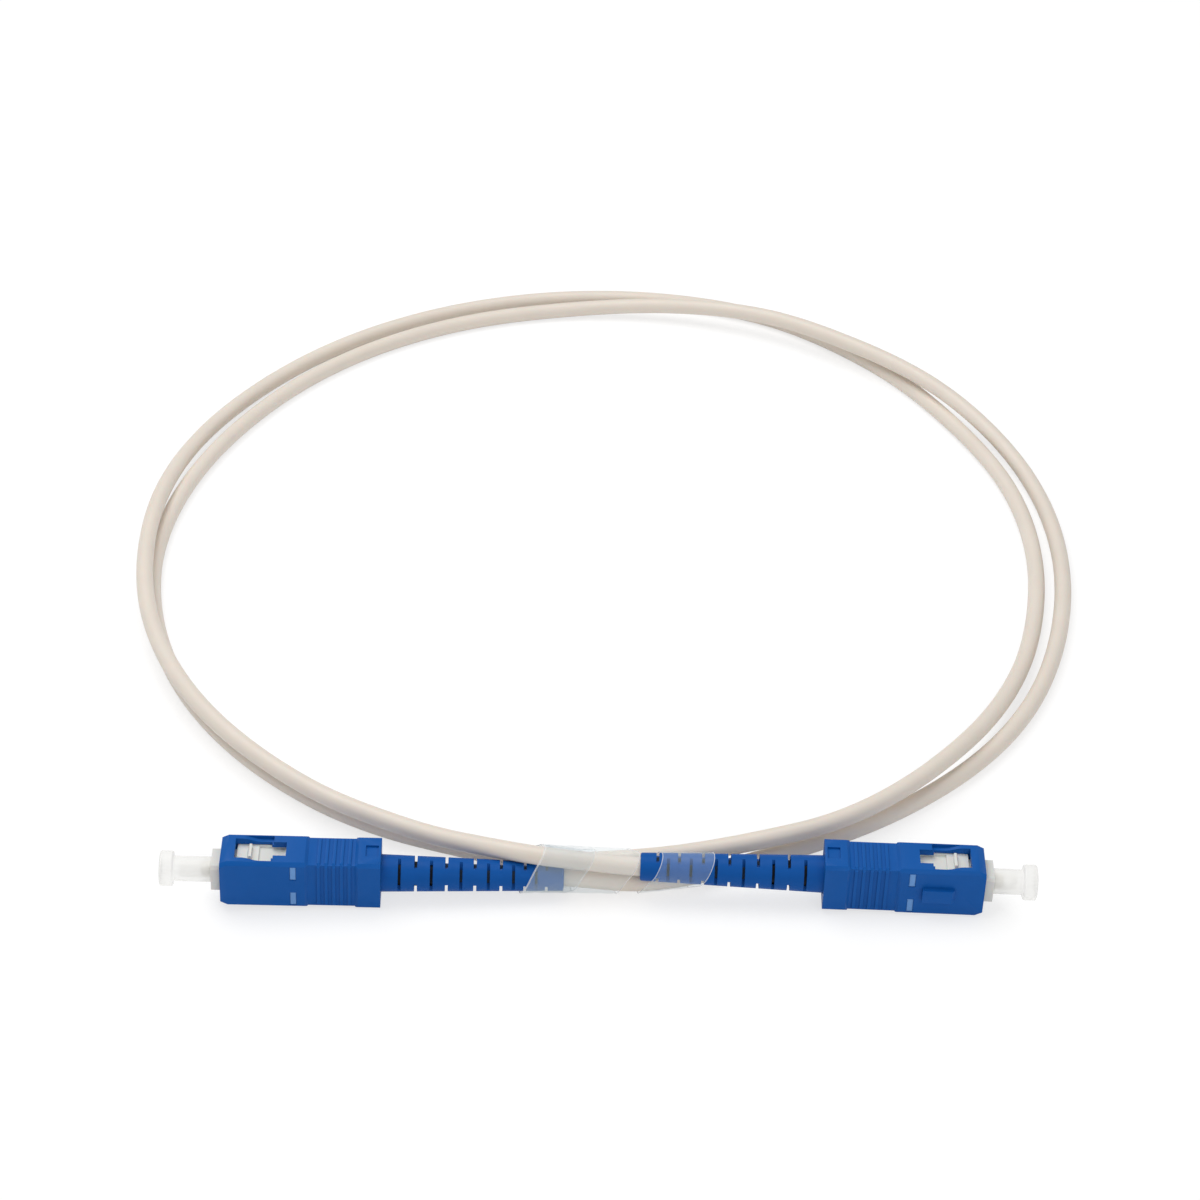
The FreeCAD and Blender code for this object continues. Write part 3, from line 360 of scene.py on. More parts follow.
def clear_film():
    """Cast polypropylene film, pulled tight: almost clear, with a faint milky haze."""
    return hazy("clear_film", chosen("film"), share=(0.06, 0.18), roughness=(0.12, 0.25),
                grit=(1.8, 0.05))


def cut_film_edge():
    """Cut edge of the film: it gathers light and shows as a thin white line."""
    return hazy("cut_film_edge", chosen("film_edge"), share=(0.45, 0.6), roughness=(0.2, 0.3),
                grit=(1.8, 0.02))


def shared(maker):
    """The material that a maker makes, made once."""
    return bpy.data.materials.get(maker.__name__) or maker()


def mesh_piece(name, points, quads, body, material):
    """A mesh object from an array of points and an array of four corners per face."""
    mesh = bpy.data.meshes.new(name)
    mesh.vertices.add(len(points))
    mesh.vertices.foreach_set("co", points.astype(np.float32).ravel())
    mesh.loops.add(quads.size)
    mesh.loops.foreach_set("vertex_index", quads.astype(np.int32).ravel())
    mesh.polygons.add(len(quads))
    mesh.polygons.foreach_set("loop_start", np.arange(0, quads.size, 4, dtype=np.int32))
    mesh.polygons.foreach_set("use_smooth", np.ones(len(quads), bool))
    mesh.update(calc_edges=True)
    mesh.validate()
    return show(name, mesh, body, material)


def show(name, data, body, material):
    """Puts a mesh or curve in the scene, on its body and with its material."""
    piece = bpy.data.objects.new(name, data)
    bpy.context.scene.collection.objects.link(piece)
    data.materials.clear()
    data.materials.append(material)
    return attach(piece, body)


def grid_quads(rows, columns, wrap_rows=False, wrap_columns=True):
    """Corners of the quads of a grid of points, which may close on itself either way."""
    row = np.arange(rows if wrap_rows else rows - 1)[:, None]
    here = np.arange(columns if wrap_columns else columns - 1)
    low, high, beside = row * columns, (row + 1) % rows * columns, (here + 1) % columns
    quads = np.stack([low + here, low + beside, high + beside, high + here], axis=-1)
    return quads.reshape(-1, 4)


def weld(piece):
    """Joins points in the same place and turns the faces outwards."""
    work = bmesh.new()
    work.from_mesh(piece.data)
    bmesh.ops.remove_doubles(work, verts=work.verts, dist=SAME_PLACE)
    bmesh.ops.dissolve_degenerate(work, edges=work.edges, dist=SAME_PLACE / 10)
    bmesh.ops.recalc_face_normals(work, faces=work.faces)
    work.to_mesh(piece.data)
    work.free()
    piece.data.update()
    return piece


def round_edges(piece, width, angle=35):
    """Rounds the edges that turn by more than an angle, as far as the shortest ones let it."""
    bevel = piece.modifiers.new("rounded", "BEVEL")
    bevel.width = width
    bevel.segments = 2
    bevel.limit_method = "ANGLE"
    bevel.angle_limit = math.radians(angle)
    bevel.harden_normals = True
    return piece


def plug_frame_of(side):
    """Origin and axes of a plug, from the two mounts on it."""
    mounts = {m["name"]: m for m in frame["record"]["mounts"]}
    plug, bench = mounts["plug_" + side], mounts["bench_face_" + side]
    nose = np.array(plug["axis"])
    up = -np.array(bench["axis"])
    return np.array(plug["pos_m"]) - HOUSING_LENGTH * nose, nose, np.cross(up, nose), up


def placed(side, local):
    """Points of a plug's own axes, in the cord's frame."""
    origin, nose, across, up = plug_frame_of(side)
    return origin + local @ np.stack([nose, across, up])


def lathe(profile, segments=96):
    """Surface of a profile of (x, radius) turned about the plug's axis.

    A point is (x, radius cos t, radius sin t) for t from 0 to a full turn.
    """
    turn = np.linspace(0, 2 * math.pi, segments, endpoint=False)
    x, radius = profile[:, 0][:, None], profile[:, 1][:, None]
    return np.stack([np.broadcast_to(x, (len(profile), segments)),
                     radius * np.cos(turn), radius * np.sin(turn)], axis=-1)


def rounded(corners, steps=6):
    """Profile of (x, radius, rounding) corners, each rounding replaced by a tangent arc.

    Along an arc the point is a quadratic blend of the two tangent points and the corner.
    """
    corners = np.array(corners, float)
    spots = corners[:, :2]
    result = [spots[:1]]
    share = np.linspace(0, 1, steps)[:, None]
    for before, here, after, radius in zip(spots, spots[1:], spots[2:], corners[1:-1, 2]):
        if radius <= 0:
            result.append(here[None])
            continue
        back = here + (before - here) * radius / np.linalg.norm(before - here)
        ahead = here + (after - here) * radius / np.linalg.norm(after - here)
        result.append((1 - share) ** 2 * back + 2 * share * (1 - share) * here
                      + share ** 2 * ahead)
    result.append(spots[-1:])
    return np.concatenate(result)


def lathed_piece(name, side, corners, body, material, closed=False):
    """A turned piece of a plug; a closed profile is one that goes round a bore."""
    profile = rounded(corners) * MM
    surface = lathe(profile)
    points = placed(side, surface.reshape(-1, 3))
    quads = grid_quads(*surface.shape[:2], wrap_rows=closed)
    return weld(mesh_piece(name, points, quads, body, material))


def edged_copy(node, name, material):
    """A copy of a moulded CAD piece with joined facets and rounded edges."""
    mesh = frame["nodes"][node].data.copy()
    mesh.name = name
    work = bmesh.new()
    work.from_mesh(mesh)
    bmesh.ops.remove_doubles(work, verts=work.verts, dist=10 * SAME_PLACE)
    bmesh.ops.dissolve_limit(work, angle_limit=math.radians(1), verts=work.verts,
                             edges=work.edges)
    work.to_mesh(mesh)
    work.free()
    piece = show(name, mesh, frame["nodes"][node]["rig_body"], material)
    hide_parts(node)
    return round_edges(piece, bpy.context.scene.patch_cord_sizes.edge_round)


def smooth_step(value, start, end):
    """Smooth step from 0 at start to 1 at end."""
    share = np.clip((value - start) / (end - start), 0, 1)
    return share * share * (3 - 2 * share)


def lap_points(lap, angle, sizes):
    """Points of one lap of the ring, in millimetres.

    The angle is counted in degrees from the front, anticlockwise. The laps run side by side,
    swap sides where lap one climbs over lap two, and lie stacked from the left to the front.
    They swell outwards by a millimetre or two at the front right and a little at the right,
    and draw in by about a millimetre at the back right and the front left.
    """
    def over(start, end):
        """Share of a change that is made between two angles."""
        return smooth_step(angle, start, end)

    spread, stacked = sizes.ring_spread / MM, sizes.stack_spread / MM
    parting, swapping, stacking = over(20, 62), over(100, 165), over(230, 276)
    apart = -spread * parting + 2 * spread * swapping - (spread - stacked) * stacking
    polar = np.radians(angle - 90)
    radius = sizes.ring_radius / MM - sizes.ring_oval / MM * np.cos(2 * polar)
    back_right = over(108, 128) - over(142, 160)
    front_right = over(8, 28) - 0.65 * over(45, 80) - 0.35 * over(100, 118)
    front_left = over(285, 330)
    if lap == 1:
        outside, swell = -1, 1.5
        lift = over(100, 130) - over(150, 190)
    else:
        outside, swell = 1, 2.3
        front_left = front_left - 0.5 * over(318, 335)
        lift = 1 - over(38, 72) + over(228, 275)
    back_draw, front_draw = 1.3, 1.2
    radius = (radius - back_draw * back_right + outside * apart / 2 + swell * front_right
              - front_draw * front_left)
    return np.stack([radius * np.cos(polar) - sizes.ring_x / MM,
                     radius * np.sin(polar) + sizes.ring_y / MM,
                     sizes.cable_diameter / MM / 2 + sizes.ring_climb / MM * lift], axis=-1)


def cable_route(sizes):
    """The cable's points from the left crimp to the right crimp, in metres."""
    step = math.degrees(sizes.lap_step)
    starts, end = {1: 24, 2: 18}, 330
    laps = [lap_points(lap, np.arange(start, end + step / 2, step), sizes)
            for lap, start in starts.items()]
    inside = np.array(ENTRY) * MM
    return np.concatenate([placed("left", inside), np.array(FRONT_RUN) * MM, laps[0] * MM,
                           np.array(MIDDLE_RUN) * MM, laps[1] * MM, np.array(BACK_RUN) * MM,
                           placed("right", inside)[::-1]])


class PATCHCORD_OT_cable(bpy.types.Operator):
    """Lay the jacketed cable in its ring"""
    bl_idname = "patchcord.cable"
    bl_label = "Cable"

    def execute(self, context):
        sizes = context.scene.patch_cord_sizes
        route = cable_route(sizes)
        curve = bpy.data.curves.new("cable_jacket", "CURVE")
        curve.dimensions = "3D"
        curve.twist_mode = "MINIMUM"
        curve.bevel_depth = sizes.cable_diameter / 2
        curve.bevel_resolution = 5
        curve.resolution_u = 5
        curve.use_fill_caps = True
        spline = curve.splines.new("NURBS")
        spline.points.add(len(route) - 1)
        spline.points.foreach_set("co", np.c_[route, np.ones(len(route))].ravel())
        spline.order_u = 3
        spline.use_endpoint_u = True
        spline.use_smooth = True
        jacket = show("cable_jacket", curve, "cord", shared(extruded_jacket_white))
        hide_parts("cable")
        return {"FINISHED"}


# Columns of a boot's grid in a web or a slot
BOOT_GROUP = 16


class PATCHCORD_OT_boots(bpy.types.Operator):
    """Mould the slotted strain reliefs"""
    bl_idname = "patchcord.boots"
    bl_label = "Boots"

    def execute(self, context):
        sizes = context.scene.patch_cord_sizes
        for side, roll in (("left", sizes.left_boot_roll), ("right", sizes.right_boot_roll)):
            self.boot(sizes, side, roll)
            self.liner(side)
        return {"FINISHED"}

    def liner(self, side):
        """A dark sleeve on the cable under the slots: painted shade, which makes the slots look
        dark inside.
        """
        front, rear, inner, outer, soft = -9.6, -27.0, 1.512, 1.585, 0.03
        corners = [(front, inner, 0), (front, outer, soft), (rear, outer, soft), (rear, inner, 0)]
        sleeve = lathed_piece("shrink_sleeve_" + side, side, corners, "cord",
                              shared(shrunk_polyolefin), closed=True)

    def boot(self, sizes, side, roll):
        """One boot: an outer and an inner skin on the same grid, with the slots left out.

        A row is a place along the boot and a column an angle. Four equal groups of columns
        are web, slot, web, slot; the next pair of slots is turned by one group.
        """
        i = np.arange(sizes.slot_count)
        middle = -(sizes.slot_first + i * sizes.slot_pitch - i * (i - 1) / 2 * sizes.slot_shrink)
        edges = middle + sizes.slot_width / 2, middle - sizes.slot_width / 2
        rows, skins = self.profiles(sizes, *edges)
        points = np.concatenate([self.skin(sizes, rows, radius, *edges, roll).reshape(-1, 3)
                                 for radius in skins])
        faces = self.faces(self.slots(rows, *edges))
        piece = mesh_piece("slotted_boot_" + side, placed(side, points), faces, "cord",
                           shared(soft_pvc_blue))
        weld(piece)
        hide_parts("boot_" + side)
        round_edges(piece, 0.06 * MM, angle=40)

    def profiles(self, sizes, front_edge, rear_edge):
        """Places of the rows from nose to tail, and the outer and inner radius at each.

        The outside tapers behind the housing's rear face. At both ends it falls off by a
        quarter circle: the rounding less the root of its square less the distance's square.
        """
        rounding, narrowing = 0.25 * MM, 0.3 * MM
        nose, tail = sizes.boot_front, -sizes.boot_length
        corner = rounding * (1 - np.cos(np.linspace(0, math.pi / 2, 5)))
        webs = [np.linspace(a, b, 5)[1:-1] for a, b in zip(rear_edge, front_edge[1:])]
        rows = np.concatenate([nose - corner, [0.6 * nose, 0.0], front_edge, rear_edge, *webs,
                               np.linspace(rear_edge[-1], tail, 6)[1:-1], tail + corner])
        rows = np.unique(np.round(rows, 9))[::-1]
        outer = np.interp(rows, [tail, 0.0, nose],
                          [sizes.boot_tail_radius, sizes.boot_head_radius, sizes.boot_head_radius])
        near_end = np.clip(rounding - np.minimum(nose - rows, rows - tail), 0, rounding)
        outer = outer - (rounding - np.sqrt(rounding ** 2 - near_end ** 2))
        step = -sizes.boot_bore_step
        inner = np.interp(rows, [step - narrowing, step],
                          [sizes.boot_tail_bore, sizes.boot_head_bore])
        return rows, (outer, inner)

    def skin(self, sizes, rows, radius, front_edge, rear_edge, roll):
        """Points (x, radius cos a, radius sin a) of a skin at each row and column.

        A web's walls are flat, so at a radius r its edges are at arcsin(web_half / r) from its
        middle. A column's angle a is worked out at the slots' edges, where it belongs to a web
        or a slot, and runs straight between them.
        """
        count, group, columns = len(front_edge), BOOT_GROUP, 4 * BOOT_GROUP
        keys = np.concatenate([[sizes.boot_front], np.stack([front_edge, rear_edge], 1).ravel(),
                               [-sizes.boot_length]])
        turned = np.concatenate([[0], np.repeat(np.arange(count) % 2, 2), [(count - 1) % 2]])
        web_edge = np.arcsin(sizes.web_half / np.interp(-keys, -rows, radius))
        web_edge[[0, -1]] = math.pi / 4
        shifted = np.arange(columns) - turned[:, None] * group + group // 2
        angle = np.empty((len(keys), columns))
        for k, half in enumerate(web_edge):
            spots = [-half, half, math.pi - half, math.pi + half, 2 * math.pi - half]
            angle[k] = np.interp(shifted[k] % columns, np.arange(5) * group, spots)
        angle += turned[:, None] * math.pi / 2 + shifted // columns * 2 * math.pi + roll
        across = np.stack([np.interp(-rows, -keys, angle[:, c]) for c in range(columns)], 1)
        return np.stack([np.broadcast_to(rows[:, None], across.shape),
                         radius[:, None] * np.cos(across),
                         radius[:, None] * np.sin(across)], axis=-1)

    def slots(self, rows, front_edge, rear_edge):
        """Which quads of the grid are left out for the slots."""
        group, columns = BOOT_GROUP, 4 * BOOT_GROUP
        centre = (rows[1:] + rows[:-1]) / 2
        pair = np.full(len(centre), -1)
        for k, (front, rear) in enumerate(zip(front_edge, rear_edge)):
            pair[(centre < front) & (centre > rear)] = k
        turned = np.where(pair > 0, pair % 2, 0)[:, None]
        group_of = (np.arange(columns) - turned * group + group // 2) % columns // group
        return (pair >= 0)[:, None] & (group_of % 2 == 1)

    def faces(self, void):
        """Corners of both skins' faces, then of the walls that join the skins.

        The walls stand along the slots' sides, across their ends and at the nose and tail.
        """
        rows, columns = len(void) + 1, void.shape[1]
        offset = rows * columns
        grid = grid_quads(rows, columns).reshape(rows - 1, columns, 4)
        faces = [grid[~void], grid[~void][:, ::-1] + offset]
        left = np.roll(void, 1, axis=1)
        for side_wall, corners in ((void & ~left, (0, 3)), (~void & left, (3, 0))):
            a, b = grid[side_wall][:, corners[0]], grid[side_wall][:, corners[1]]
            faces.append(np.stack([a, b, b + offset, a + offset], axis=1))
        padded = np.pad(void, ((1, 1), (0, 0)), constant_values=True)
        first, index = np.arange(rows)[:, None] * columns, np.arange(columns)
        a, b = first + index, first + (index + 1) % columns
        opens, shuts = ~padded[:-1] & padded[1:], padded[:-1] & ~padded[1:]
        faces.append(np.stack([a, b, b + offset, a + offset], -1)[opens])
        faces.append(np.stack([b, a, a + offset, b + offset], -1)[shuts])
        return np.concatenate(faces)


class PATCHCORD_OT_housings(bpy.types.Operator):
    """Mould the outer grips and their pale marks"""
    bl_idname = "patchcord.housings"
    bl_label = "Housings"

    def execute(self, context):
        for side in SIDES:
            piece = edged_copy("outer_housing_" + side, "grip_shell_" + side,
                               shared(moulded_abs_blue))
            self.nose_facets(piece.data, side)
            for face in (-1, 1):
                for level in (-1, 1):
                    self.mark(side, face, level)
        return {"FINISHED"}

    def nose_facets(self, mesh, side):
        """Cuts the four corners of the nose with flat facets, as long as the nose chamfers.

        Each facet's plane goes through a point of a wide face, where the chamfer starts.
        """
        chamfer, wide_face, on_face = 1.1, 3.7, 3.95
        ahead, sideways, upwards = 0.34, 0.67, 0.66
        work = bmesh.new()
        work.from_mesh(mesh)
        zero = placed(side, np.zeros(3))
        for across in (-1, 1):
            for up in (-1, 1):
                spot = np.array([HOUSING_LENGTH / MM - chamfer, across * wide_face,
                                 up * on_face]) * MM
                facing = np.array([ahead, across * sideways, up * upwards])
                everything = work.verts[:] + work.edges[:] + work.faces[:]
                cut = bmesh.ops.bisect_plane(work, geom=everything, clear_outer=True,
                                             plane_co=placed(side, spot), dist=SAME_PLACE,
                                             plane_no=placed(side, facing) - zero)
                rim = [e for e in cut["geom_cut"] if isinstance(e, bmesh.types.BMEdge)]
                bmesh.ops.edgenet_fill(work, edges=rim)
        bmesh.ops.recalc_face_normals(work, faces=work.faces)
        for face in work.faces:
            face.smooth = True
        work.to_mesh(mesh)
        work.free()

    def mark(self, side, face, level):
        """Ink in one recess: a flat pad whose rim falls off.

        Over u and v from -1 to 1 the pad's height is its crown times the fourth root of
        (1 - u^8)(1 - v^8), and its back is flat on the recess.
        """
        middle = np.array([13.6, 3.5, 2.55])
        half_length, half_height, crown = 0.47, 1.27, 0.13
        steps = np.sin(np.linspace(-1, 1, 17) * math.pi / 2)
        u, v = np.meshgrid(steps, steps, indexing="ij")
        lift = crown * (np.clip(1 - u ** 8, 0, 1) * np.clip(1 - v ** 8, 0, 1)) ** 0.25
        front = np.stack([middle[0] + half_length * u, face * (middle[1] + lift),
                          level * (middle[2] + half_height * v)], axis=-1)
        back = front.copy()
        back[..., 1] = face * middle[1]
        quads = grid_quads(*u.shape, wrap_columns=False)
        points = np.concatenate([front.reshape(-1, 3), back.reshape(-1, 3)]) * MM
        name = "ink_mark_%s_%s_%s" % (side, "key" if face < 0 else "plain",
                                      "low" if level < 0 else "high")
        pad = mesh_piece(name, placed(side, points), np.concatenate([quads, quads + u.size]),
                         "grip_" + side, shared(printed_pale_blue))
        weld(pad)


class PATCHCORD_OT_frames(bpy.types.Operator):
    """Mould the white inner frames"""
    bl_idname = "patchcord.frames"
    bl_label = "Plug Frames"

    def execute(self, context):
        for side in SIDES:
            piece = edged_copy("plug_frame_" + side, "inner_frame_" + side,
                               shared(moulded_pbt_white))
        return {"FINISHED"}


class PATCHCORD_OT_caps(bpy.types.Operator):
    """Turn the translucent dust caps"""
    bl_idname = "patchcord.caps"
    bl_label = "Dust Caps"

    def execute(self, context):
        sizes = context.scene.patch_cord_sizes
        dimple = 0.15
        barrel, rim, bore_depth = (v / MM for v in (sizes.cap_barrel, sizes.cap_rim,
                                                    sizes.cap_bore_depth))
        thin, wide, bore = (v / MM for v in (sizes.cap_radius, sizes.cap_flange_radius,
                                             sizes.cap_bore))
        rears = {"left": sizes.left_cap_rear / MM, "right": sizes.right_cap_rear / MM}
        for side, rear in rears.items():
            floor, seat, front = rear + bore_depth, rear + barrel, rear + barrel + rim
            corners = [(floor, 0, 0), (floor, bore, 0.1), (rear, bore, 0.12), (rear, thin, 0.15),
                       (seat, thin, 0.3), (seat, wide, 0.3), (front, wide, 0.35),
                       (front, 0.6 * wide, 0.15), (front - dimple, 0.5 * wide, 0.15),
                       (front - dimple, 0, 0)]
            cap = lathed_piece("soft_cap_" + side, side, corners, "cap_" + side,
                               shared(translucent_ldpe))
            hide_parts("dust_cap_" + side)
        return {"FINISHED"}


class PATCHCORD_OT_ferrules(bpy.types.Operator):
    """Grind the ceramic ferrules"""
    bl_idname = "patchcord.ferrules"
    bl_label = "Ferrules"

    def execute(self, context):
        rear, bevel, front, radius, tip_radius = 17.7, 27.65, 28.2, 1.25, 0.95
        for side in SIDES:
            corners = [(rear, 0, 0), (rear, radius, 0.05), (bevel, radius, 0.1),
                       (front, tip_radius, 0.08), (front, 0, 0)]
            tip = lathed_piece("ceramic_tip_" + side, side, corners, "ferrule_" + side,
                               shared(ground_ceramic))
            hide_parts("ferrule_" + side)
        return {"FINISHED"}


class PATCHCORD_OT_inner_parts(bpy.types.Operator):
    """Give the pieces inside the plugs their finishes"""
    bl_idname = "patchcord.inner_parts"
    bl_label = "Inner Parts"

    def execute(self, context):
        finishes = {"ferrule_flange": plated_metal, "stop_ring": plated_metal,
                    "crimp_sleeve": crimped_brass, "aramid_yarn": aramid_fibre,
                    "buffered_fibre": moulded_pbt_white}
        for side in SIDES:
            for kind, maker in finishes.items():
                for slot in frame["nodes"]["%s_%s" % (kind, side)].material_slots:
                    slot.material = shared(maker)
            self.spring(side)
        return {"FINISHED"}

    def spring(self, side):
        """A smooth-shaded copy of the coiled spring, on the same body as the CAD spring."""
        node = frame["nodes"]["ferrule_spring_" + side]
        mesh = node.data.copy()
        mesh.name = "coil_spring_" + side
        spring = weld(show(mesh.name, mesh, node["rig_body"], shared(plated_metal)))
        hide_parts("ferrule_spring_" + side)
        mesh.polygons.foreach_set("use_smooth", np.ones(len(mesh.polygons), bool))
        corners = np.empty(3 * len(mesh.vertices), np.float32)
        mesh.vertices.foreach_get("co", corners)
        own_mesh(spring)


# Waves in the film: height, pace along X per millimetre, waves round the film, shift
WRINKLES = [(1.0, 1.9, 3, 0.0), (0.6, 3.7, -5, 1.0), (0.5, 0.8, 7, 2.0)]


class PATCHCORD_OT_tape(bpy.types.Operator):
    """Wind the clear tape round the boots and the cable"""
    bl_idname = "patchcord.tape"
    bl_label = "Tape"

    def execute(self, context):
        sizes = context.scene.patch_cord_sizes
        first = self.run(sizes, "film_left", -11.4, 4.1, 0.0)
        second = self.run(sizes, "film_left_overlap", -11.3, -3.1, 0.14)
        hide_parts("tape_wrap_left")
        right = self.run(sizes, "film_right", 7.6, 15.8, 0.0)
        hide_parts("tape_wrap_right")
        return {"FINISHED"}

    def strands(self, sizes, x, all_three):
        """Middles and radii of what the tape holds, at each X."""
        slope_length, far_from_boot = 3.0, -99.0
        inside = np.array(ENTRY[::2]) * MM
        left, right = (placed(side, inside) / MM for side in SIDES)
        tail_x = {side: placed(side, np.array([-sizes.boot_length, 0, 0]))[0] / MM
                  for side in SIDES}
        runs = [(np.concatenate([left, FRONT_RUN]), tail_x["left"] - x),
                (np.concatenate([BACK_RUN, right[::-1]]), x - tail_x["right"])]
        if all_three:
            runs.insert(1, (np.array(MIDDLE_RUN), np.full(len(x), far_from_boot)))
        slim, tail, head = (v / MM for v in (sizes.cable_diameter / 2, sizes.boot_tail_radius,
                                             sizes.boot_head_radius))
        middles, radii = [], []
        for points, along in runs:
            middles.append(np.stack([np.interp(x, points[:, 0], points[:, 1]),
                                     np.interp(x, points[:, 0], points[:, 2])], axis=-1))
            radii.append(np.interp(along, [-slope_length, 0.0, sizes.boot_length / MM],
                                   [slim, tail, head]))
        return np.stack(middles, 1), np.stack(radii, 1)

    def tight_skin(self, sizes, x, start, end, lift, columns):
        """Points of the film's section at each X, spread evenly round it.

        The skin is the line that a taut band takes round the strands' circles. In the
        direction t its reach h is that of the circle that reaches farthest that way, or the
        straight line from the run's one end to its other where that is more, and its point is
        h along t and dh/dt across it.
        """
        middles, radii = self.strands(sizes, x, start < 0)
        t = np.linspace(0, 2 * math.pi, 1441)
        heading = np.stack([np.cos(t), np.sin(t)])
        reach = (middles @ heading + radii[:, :, None]).max(axis=1)
        ends = np.stack([np.interp([start, end], x, reach[:, k]) for k in range(len(t))], 1)
        way = np.clip((x - start) / (end - start), 0, 1)[:, None]
        taut = np.maximum(reach, ends[0] * (1 - way) + ends[1] * way)
        reach = taut + sizes.tape_gap / MM + lift
        slope = (np.roll(reach[:, :-1], -1, 1) - np.roll(reach[:, :-1], 1, 1)) / (2 * t[1])
        slope = np.c_[slope, slope[:, :1]]
        crossing = np.stack([-heading[1], heading[0]], 1)
        skin = reach[..., None] * heading.T + slope[..., None] * crossing
        length = np.cumsum(np.linalg.norm(np.diff(skin, axis=1), axis=2), axis=1)
        length = np.c_[np.zeros(len(x)), length]
        even = np.linspace(0, 1, columns, endpoint=False)
        return np.stack([np.stack([np.interp(even * length[k, -1], length[k], skin[k, :, axis])
                                   for k in range(len(x))]) for axis in (0, 1)], axis=-1)

    def run(self, sizes, name, start, end, lift):
        """One run of the film: the tight skin round its strands, cut with leaning ends.

        A point's X is its share of the way from start to end, moved by the lean times its
        height over a plug's height, less half the lean. Wrinkles are low waves, each the sine
        of its pace along X plus its waves round the film. The first and last row of faces are
        the cut edge.
        """
        rows, columns, edge_line, passes = 72, 144, 0.1, 4
        lean, plug_height = sizes.tape_lean / MM, 9.0
        x = np.linspace(start - lean, end + lean, 96)
        section = self.tight_skin(sizes, x, start, end, lift, columns)
        line = edge_line / (end - start)
        share = np.concatenate([[0], np.linspace(line, 1 - line, rows - 2), [1]])[:, None]
        column = np.arange(columns)[None, :]
        along = np.broadcast_to(start + (end - start) * share, (rows, columns)).copy()
        for _ in range(passes):
            spot = np.clip((along - x[0]) / (x[1] - x[0]), 0, len(x) - 1.001)
            low = spot.astype(int)
            part = (spot - low)[..., None]
            cross = section[low, column] * (1 - part) + section[low + 1, column] * part
            along = start + (end - start) * share + lean * (cross[..., 1] / plug_height - 0.5)
        outward = np.roll(cross, -1, 1) - np.roll(cross, 1, 1)
        outward = np.stack([outward[..., 1], -outward[..., 0]], axis=-1)
        outward /= np.linalg.norm(outward, axis=-1, keepdims=True)
        turn = 2 * math.pi * column / columns
        wave = sum(height * np.sin(pace * along + round_it * turn + shift)
                   for height, pace, round_it, shift in WRINKLES)
        highest = sum(height for height, *_ in WRINKLES)
        cross = cross + outward * wave[..., None] * sizes.tape_wrinkle / MM / highest
        points = np.concatenate([along[..., None], cross], axis=-1) * MM
        film_piece = mesh_piece(name, points.reshape(-1, 3), grid_quads(rows, columns), "cord",
                                shared(clear_film))
        film_piece.data.materials.append(shared(cut_film_edge))
        in_row = np.arange(len(film_piece.data.polygons)) // columns
        at_edge = ((in_row == 0) | (in_row == rows - 2)).astype(np.int32)
        film_piece.data.polygons.foreach_set("material_index", at_edge)
        wall = film_piece.modifiers.new("film", "SOLIDIFY")
        wall.thickness = sizes.tape_thickness
        wall.offset = 1.0
        wall.material_offset_rim = 1
        return film_piece


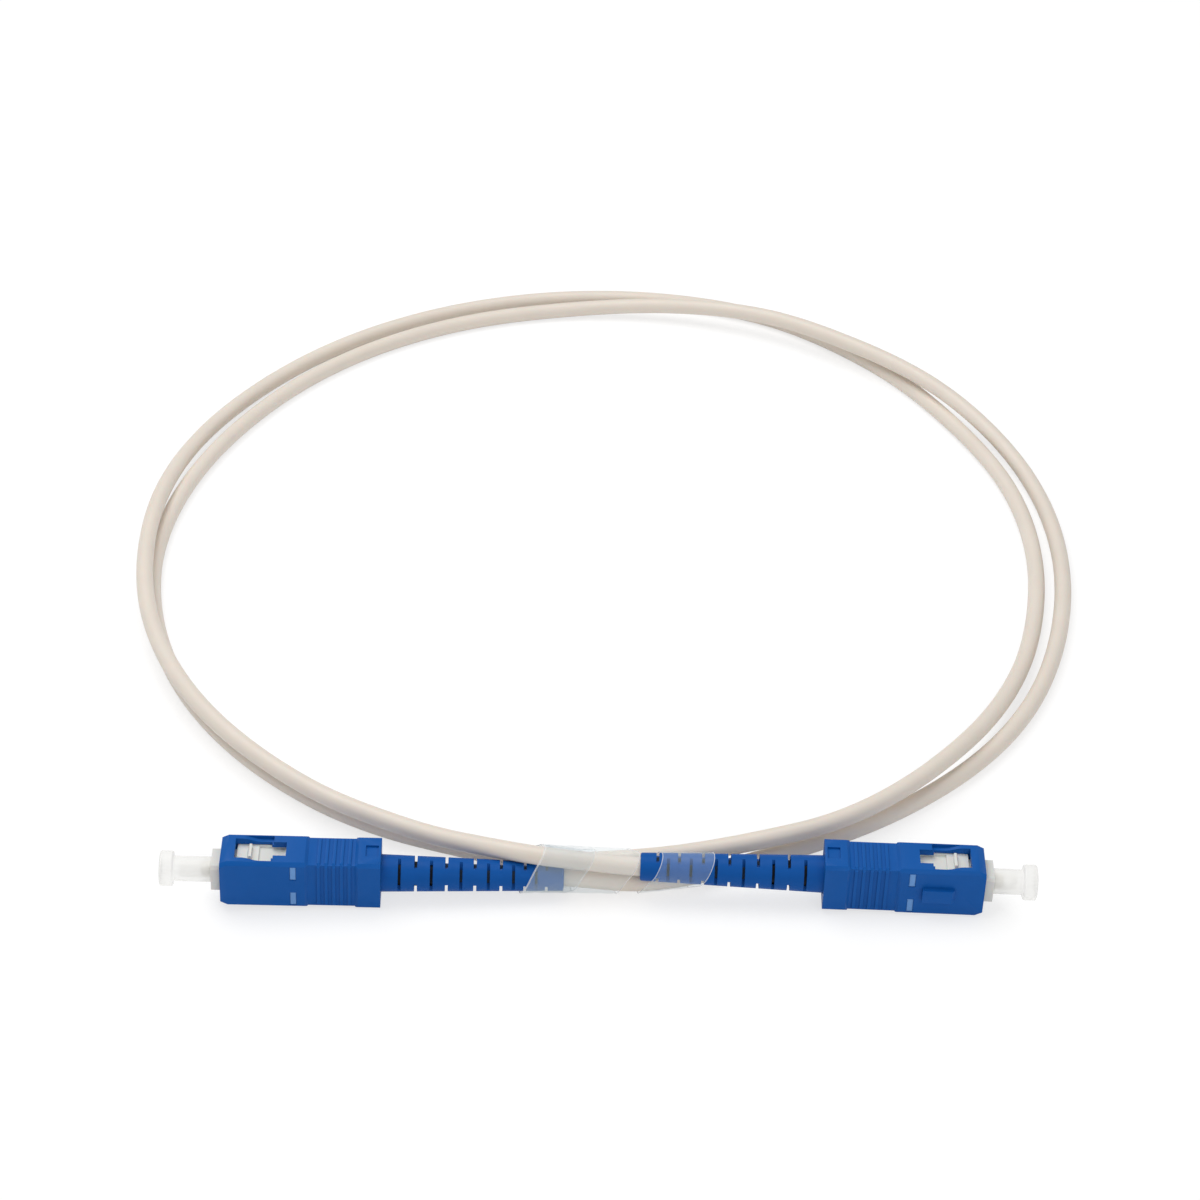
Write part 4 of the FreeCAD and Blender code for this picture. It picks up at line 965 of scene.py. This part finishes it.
class PATCHCORD_OT_stage(bpy.types.Operator):
    """Set the pale floor, the soft lights and the camera"""
    bl_idname = "patchcord.stage"
    bl_label = "Stage"

    def execute(self, context):
        self.floor()
        self.lights(context)
        self.camera(context)
        context.scene.view_settings.view_transform = "Standard"
        return {"FINISHED"}

    def floor(self):
        """White paper: the object's shadow shows as a light grey.

        The eye, mirrors and clear pieces see dim paper that glows, which comes out white with
        a light shadow. All other rays meet plain white paper.
        """
        plain, dim, half = 0.9, 0.36, 3.0
        material, output = new_material("white_paper")
        seen = add_node(material, "ShaderNodeLightPath")
        paper = add_node(material, "ShaderNodeBsdfDiffuse", {"Color": (plain,) * 3 + (1,)})
        dim_paper = add_node(material, "ShaderNodeBsdfDiffuse", {"Color": (dim,) * 3 + (1,)})
        glow = add_node(material, "ShaderNodeEmission", {"Color": (1, 1, 1, 1), "Strength": 0.68})
        lit = add_node(material, "ShaderNodeAddShader",
                       {0: dim_paper.outputs[0], 1: glow.outputs[0]})
        either = add_node(material, "ShaderNodeMath",
                          {0: seen.outputs["Is Camera Ray"], 1: seen.outputs["Is Glossy Ray"]},
                          operation="MAXIMUM")
        any_ray = add_node(material, "ShaderNodeMath",
                           {0: either.outputs[0], 1: seen.outputs["Is Transmission Ray"]},
                           operation="MAXIMUM")
        mixed = add_node(material, "ShaderNodeMixShader",
                         {0: any_ray.outputs[0], 1: paper.outputs[0], 2: lit.outputs[0]})
        material.node_tree.links.new(mixed.outputs[0], output.inputs["Surface"])
        mesh = bpy.data.meshes.new("paper_floor")
        mesh.from_pydata([(-half, -half, 0), (half, -half, 0), (half, half, 0), (-half, half, 0)],
                         [], [(0, 1, 2, 3)])
        mesh.materials.append(material)
        floor = bpy.data.objects.new("paper_floor", mesh)
        bpy.context.scene.collection.objects.link(floor)

    def lights(self, context):
        """A bright room, a large soft lamp above and a weaker one at the front right."""
        world = bpy.data.worlds.new("soft_room")
        world.use_nodes = True
        background = world.node_tree.nodes["Background"].inputs
        background["Color"].default_value = (1, 1, 1, 1)
        background["Strength"].default_value = 0.45
        context.scene.world = world
        target = np.array([0.0, 0.06, 0.0])
        for name, place, size, power in (("lamp_over", (-0.2, 0.22, 0.7), 0.6, 3.4),
                                         ("lamp_front", (0.3, -0.6, 0.5), 0.5, 1.1)):
            lamp = bpy.data.lights.new(name, "AREA")
            lamp.size = size
            lamp.energy = power
            holder = bpy.data.objects.new(name, lamp)
            holder.location = place
            aim = target - np.array(place)
            holder.rotation_euler = (math.atan2(math.hypot(aim[0], aim[1]), -aim[2]), 0,
                                     math.atan2(-aim[0], aim[1]))
            context.scene.collection.objects.link(holder)

    def camera(self, context):
        """The photograph's viewpoint: a long lens that looks down at the plugs."""
        tilt_down = 35.9
        camera = bpy.data.cameras.new("camera")
        camera.sensor_width = 36.0
        camera.lens = 90.0
        camera.clip_start = 0.01
        holder = bpy.data.objects.new("camera", camera)
        holder.location = (-0.0003, -0.35595, 0.3158)
        holder.rotation_euler = (math.radians(90 - tilt_down), 0, 0)
        context.scene.collection.objects.link(holder)
        context.scene.camera = holder


class PATCHCORD_PT_panel(bpy.types.Panel):
    """Sizes, colours and building steps of the patch cord"""
    bl_idname = "PATCHCORD_PT_panel"
    bl_label = "Patch Cord"
    bl_space_type = "VIEW_3D"
    bl_region_type = "UI"
    bl_category = "Patch Cord"

    def draw(self, context):
        for title, group in (("Sizes", context.scene.patch_cord_sizes),
                             ("Colours", context.scene.patch_cord_colours)):
            box = self.layout.box()
            box.label(text=title)
            for key in group.__annotations__:
                box.prop(group, key)
        for step in STEPS:
            self.layout.operator(step.bl_idname)


STEPS = (PATCHCORD_OT_stage, PATCHCORD_OT_cable, PATCHCORD_OT_boots, PATCHCORD_OT_tape,
         PATCHCORD_OT_housings, PATCHCORD_OT_frames, PATCHCORD_OT_ferrules, PATCHCORD_OT_caps,
         PATCHCORD_OT_inner_parts)
CLASSES = (PatchCordSizes, PatchCordColours, PATCHCORD_PT_panel) + STEPS


def register():
    for cls in CLASSES:
        bpy.utils.register_class(cls)
    bpy.types.Scene.patch_cord_sizes = PointerProperty(type=PatchCordSizes)
    bpy.types.Scene.patch_cord_colours = PointerProperty(type=PatchCordColours)


def unregister():
    del bpy.types.Scene.patch_cord_colours
    del bpy.types.Scene.patch_cord_sizes
    for cls in reversed(CLASSES):
        bpy.utils.unregister_class(cls)


def main():
    register()
    for step in STEPS:
        space, name = step.bl_idname.split(".")
        getattr(getattr(bpy.ops, space), name)()


if __name__ == "__main__":
    main()
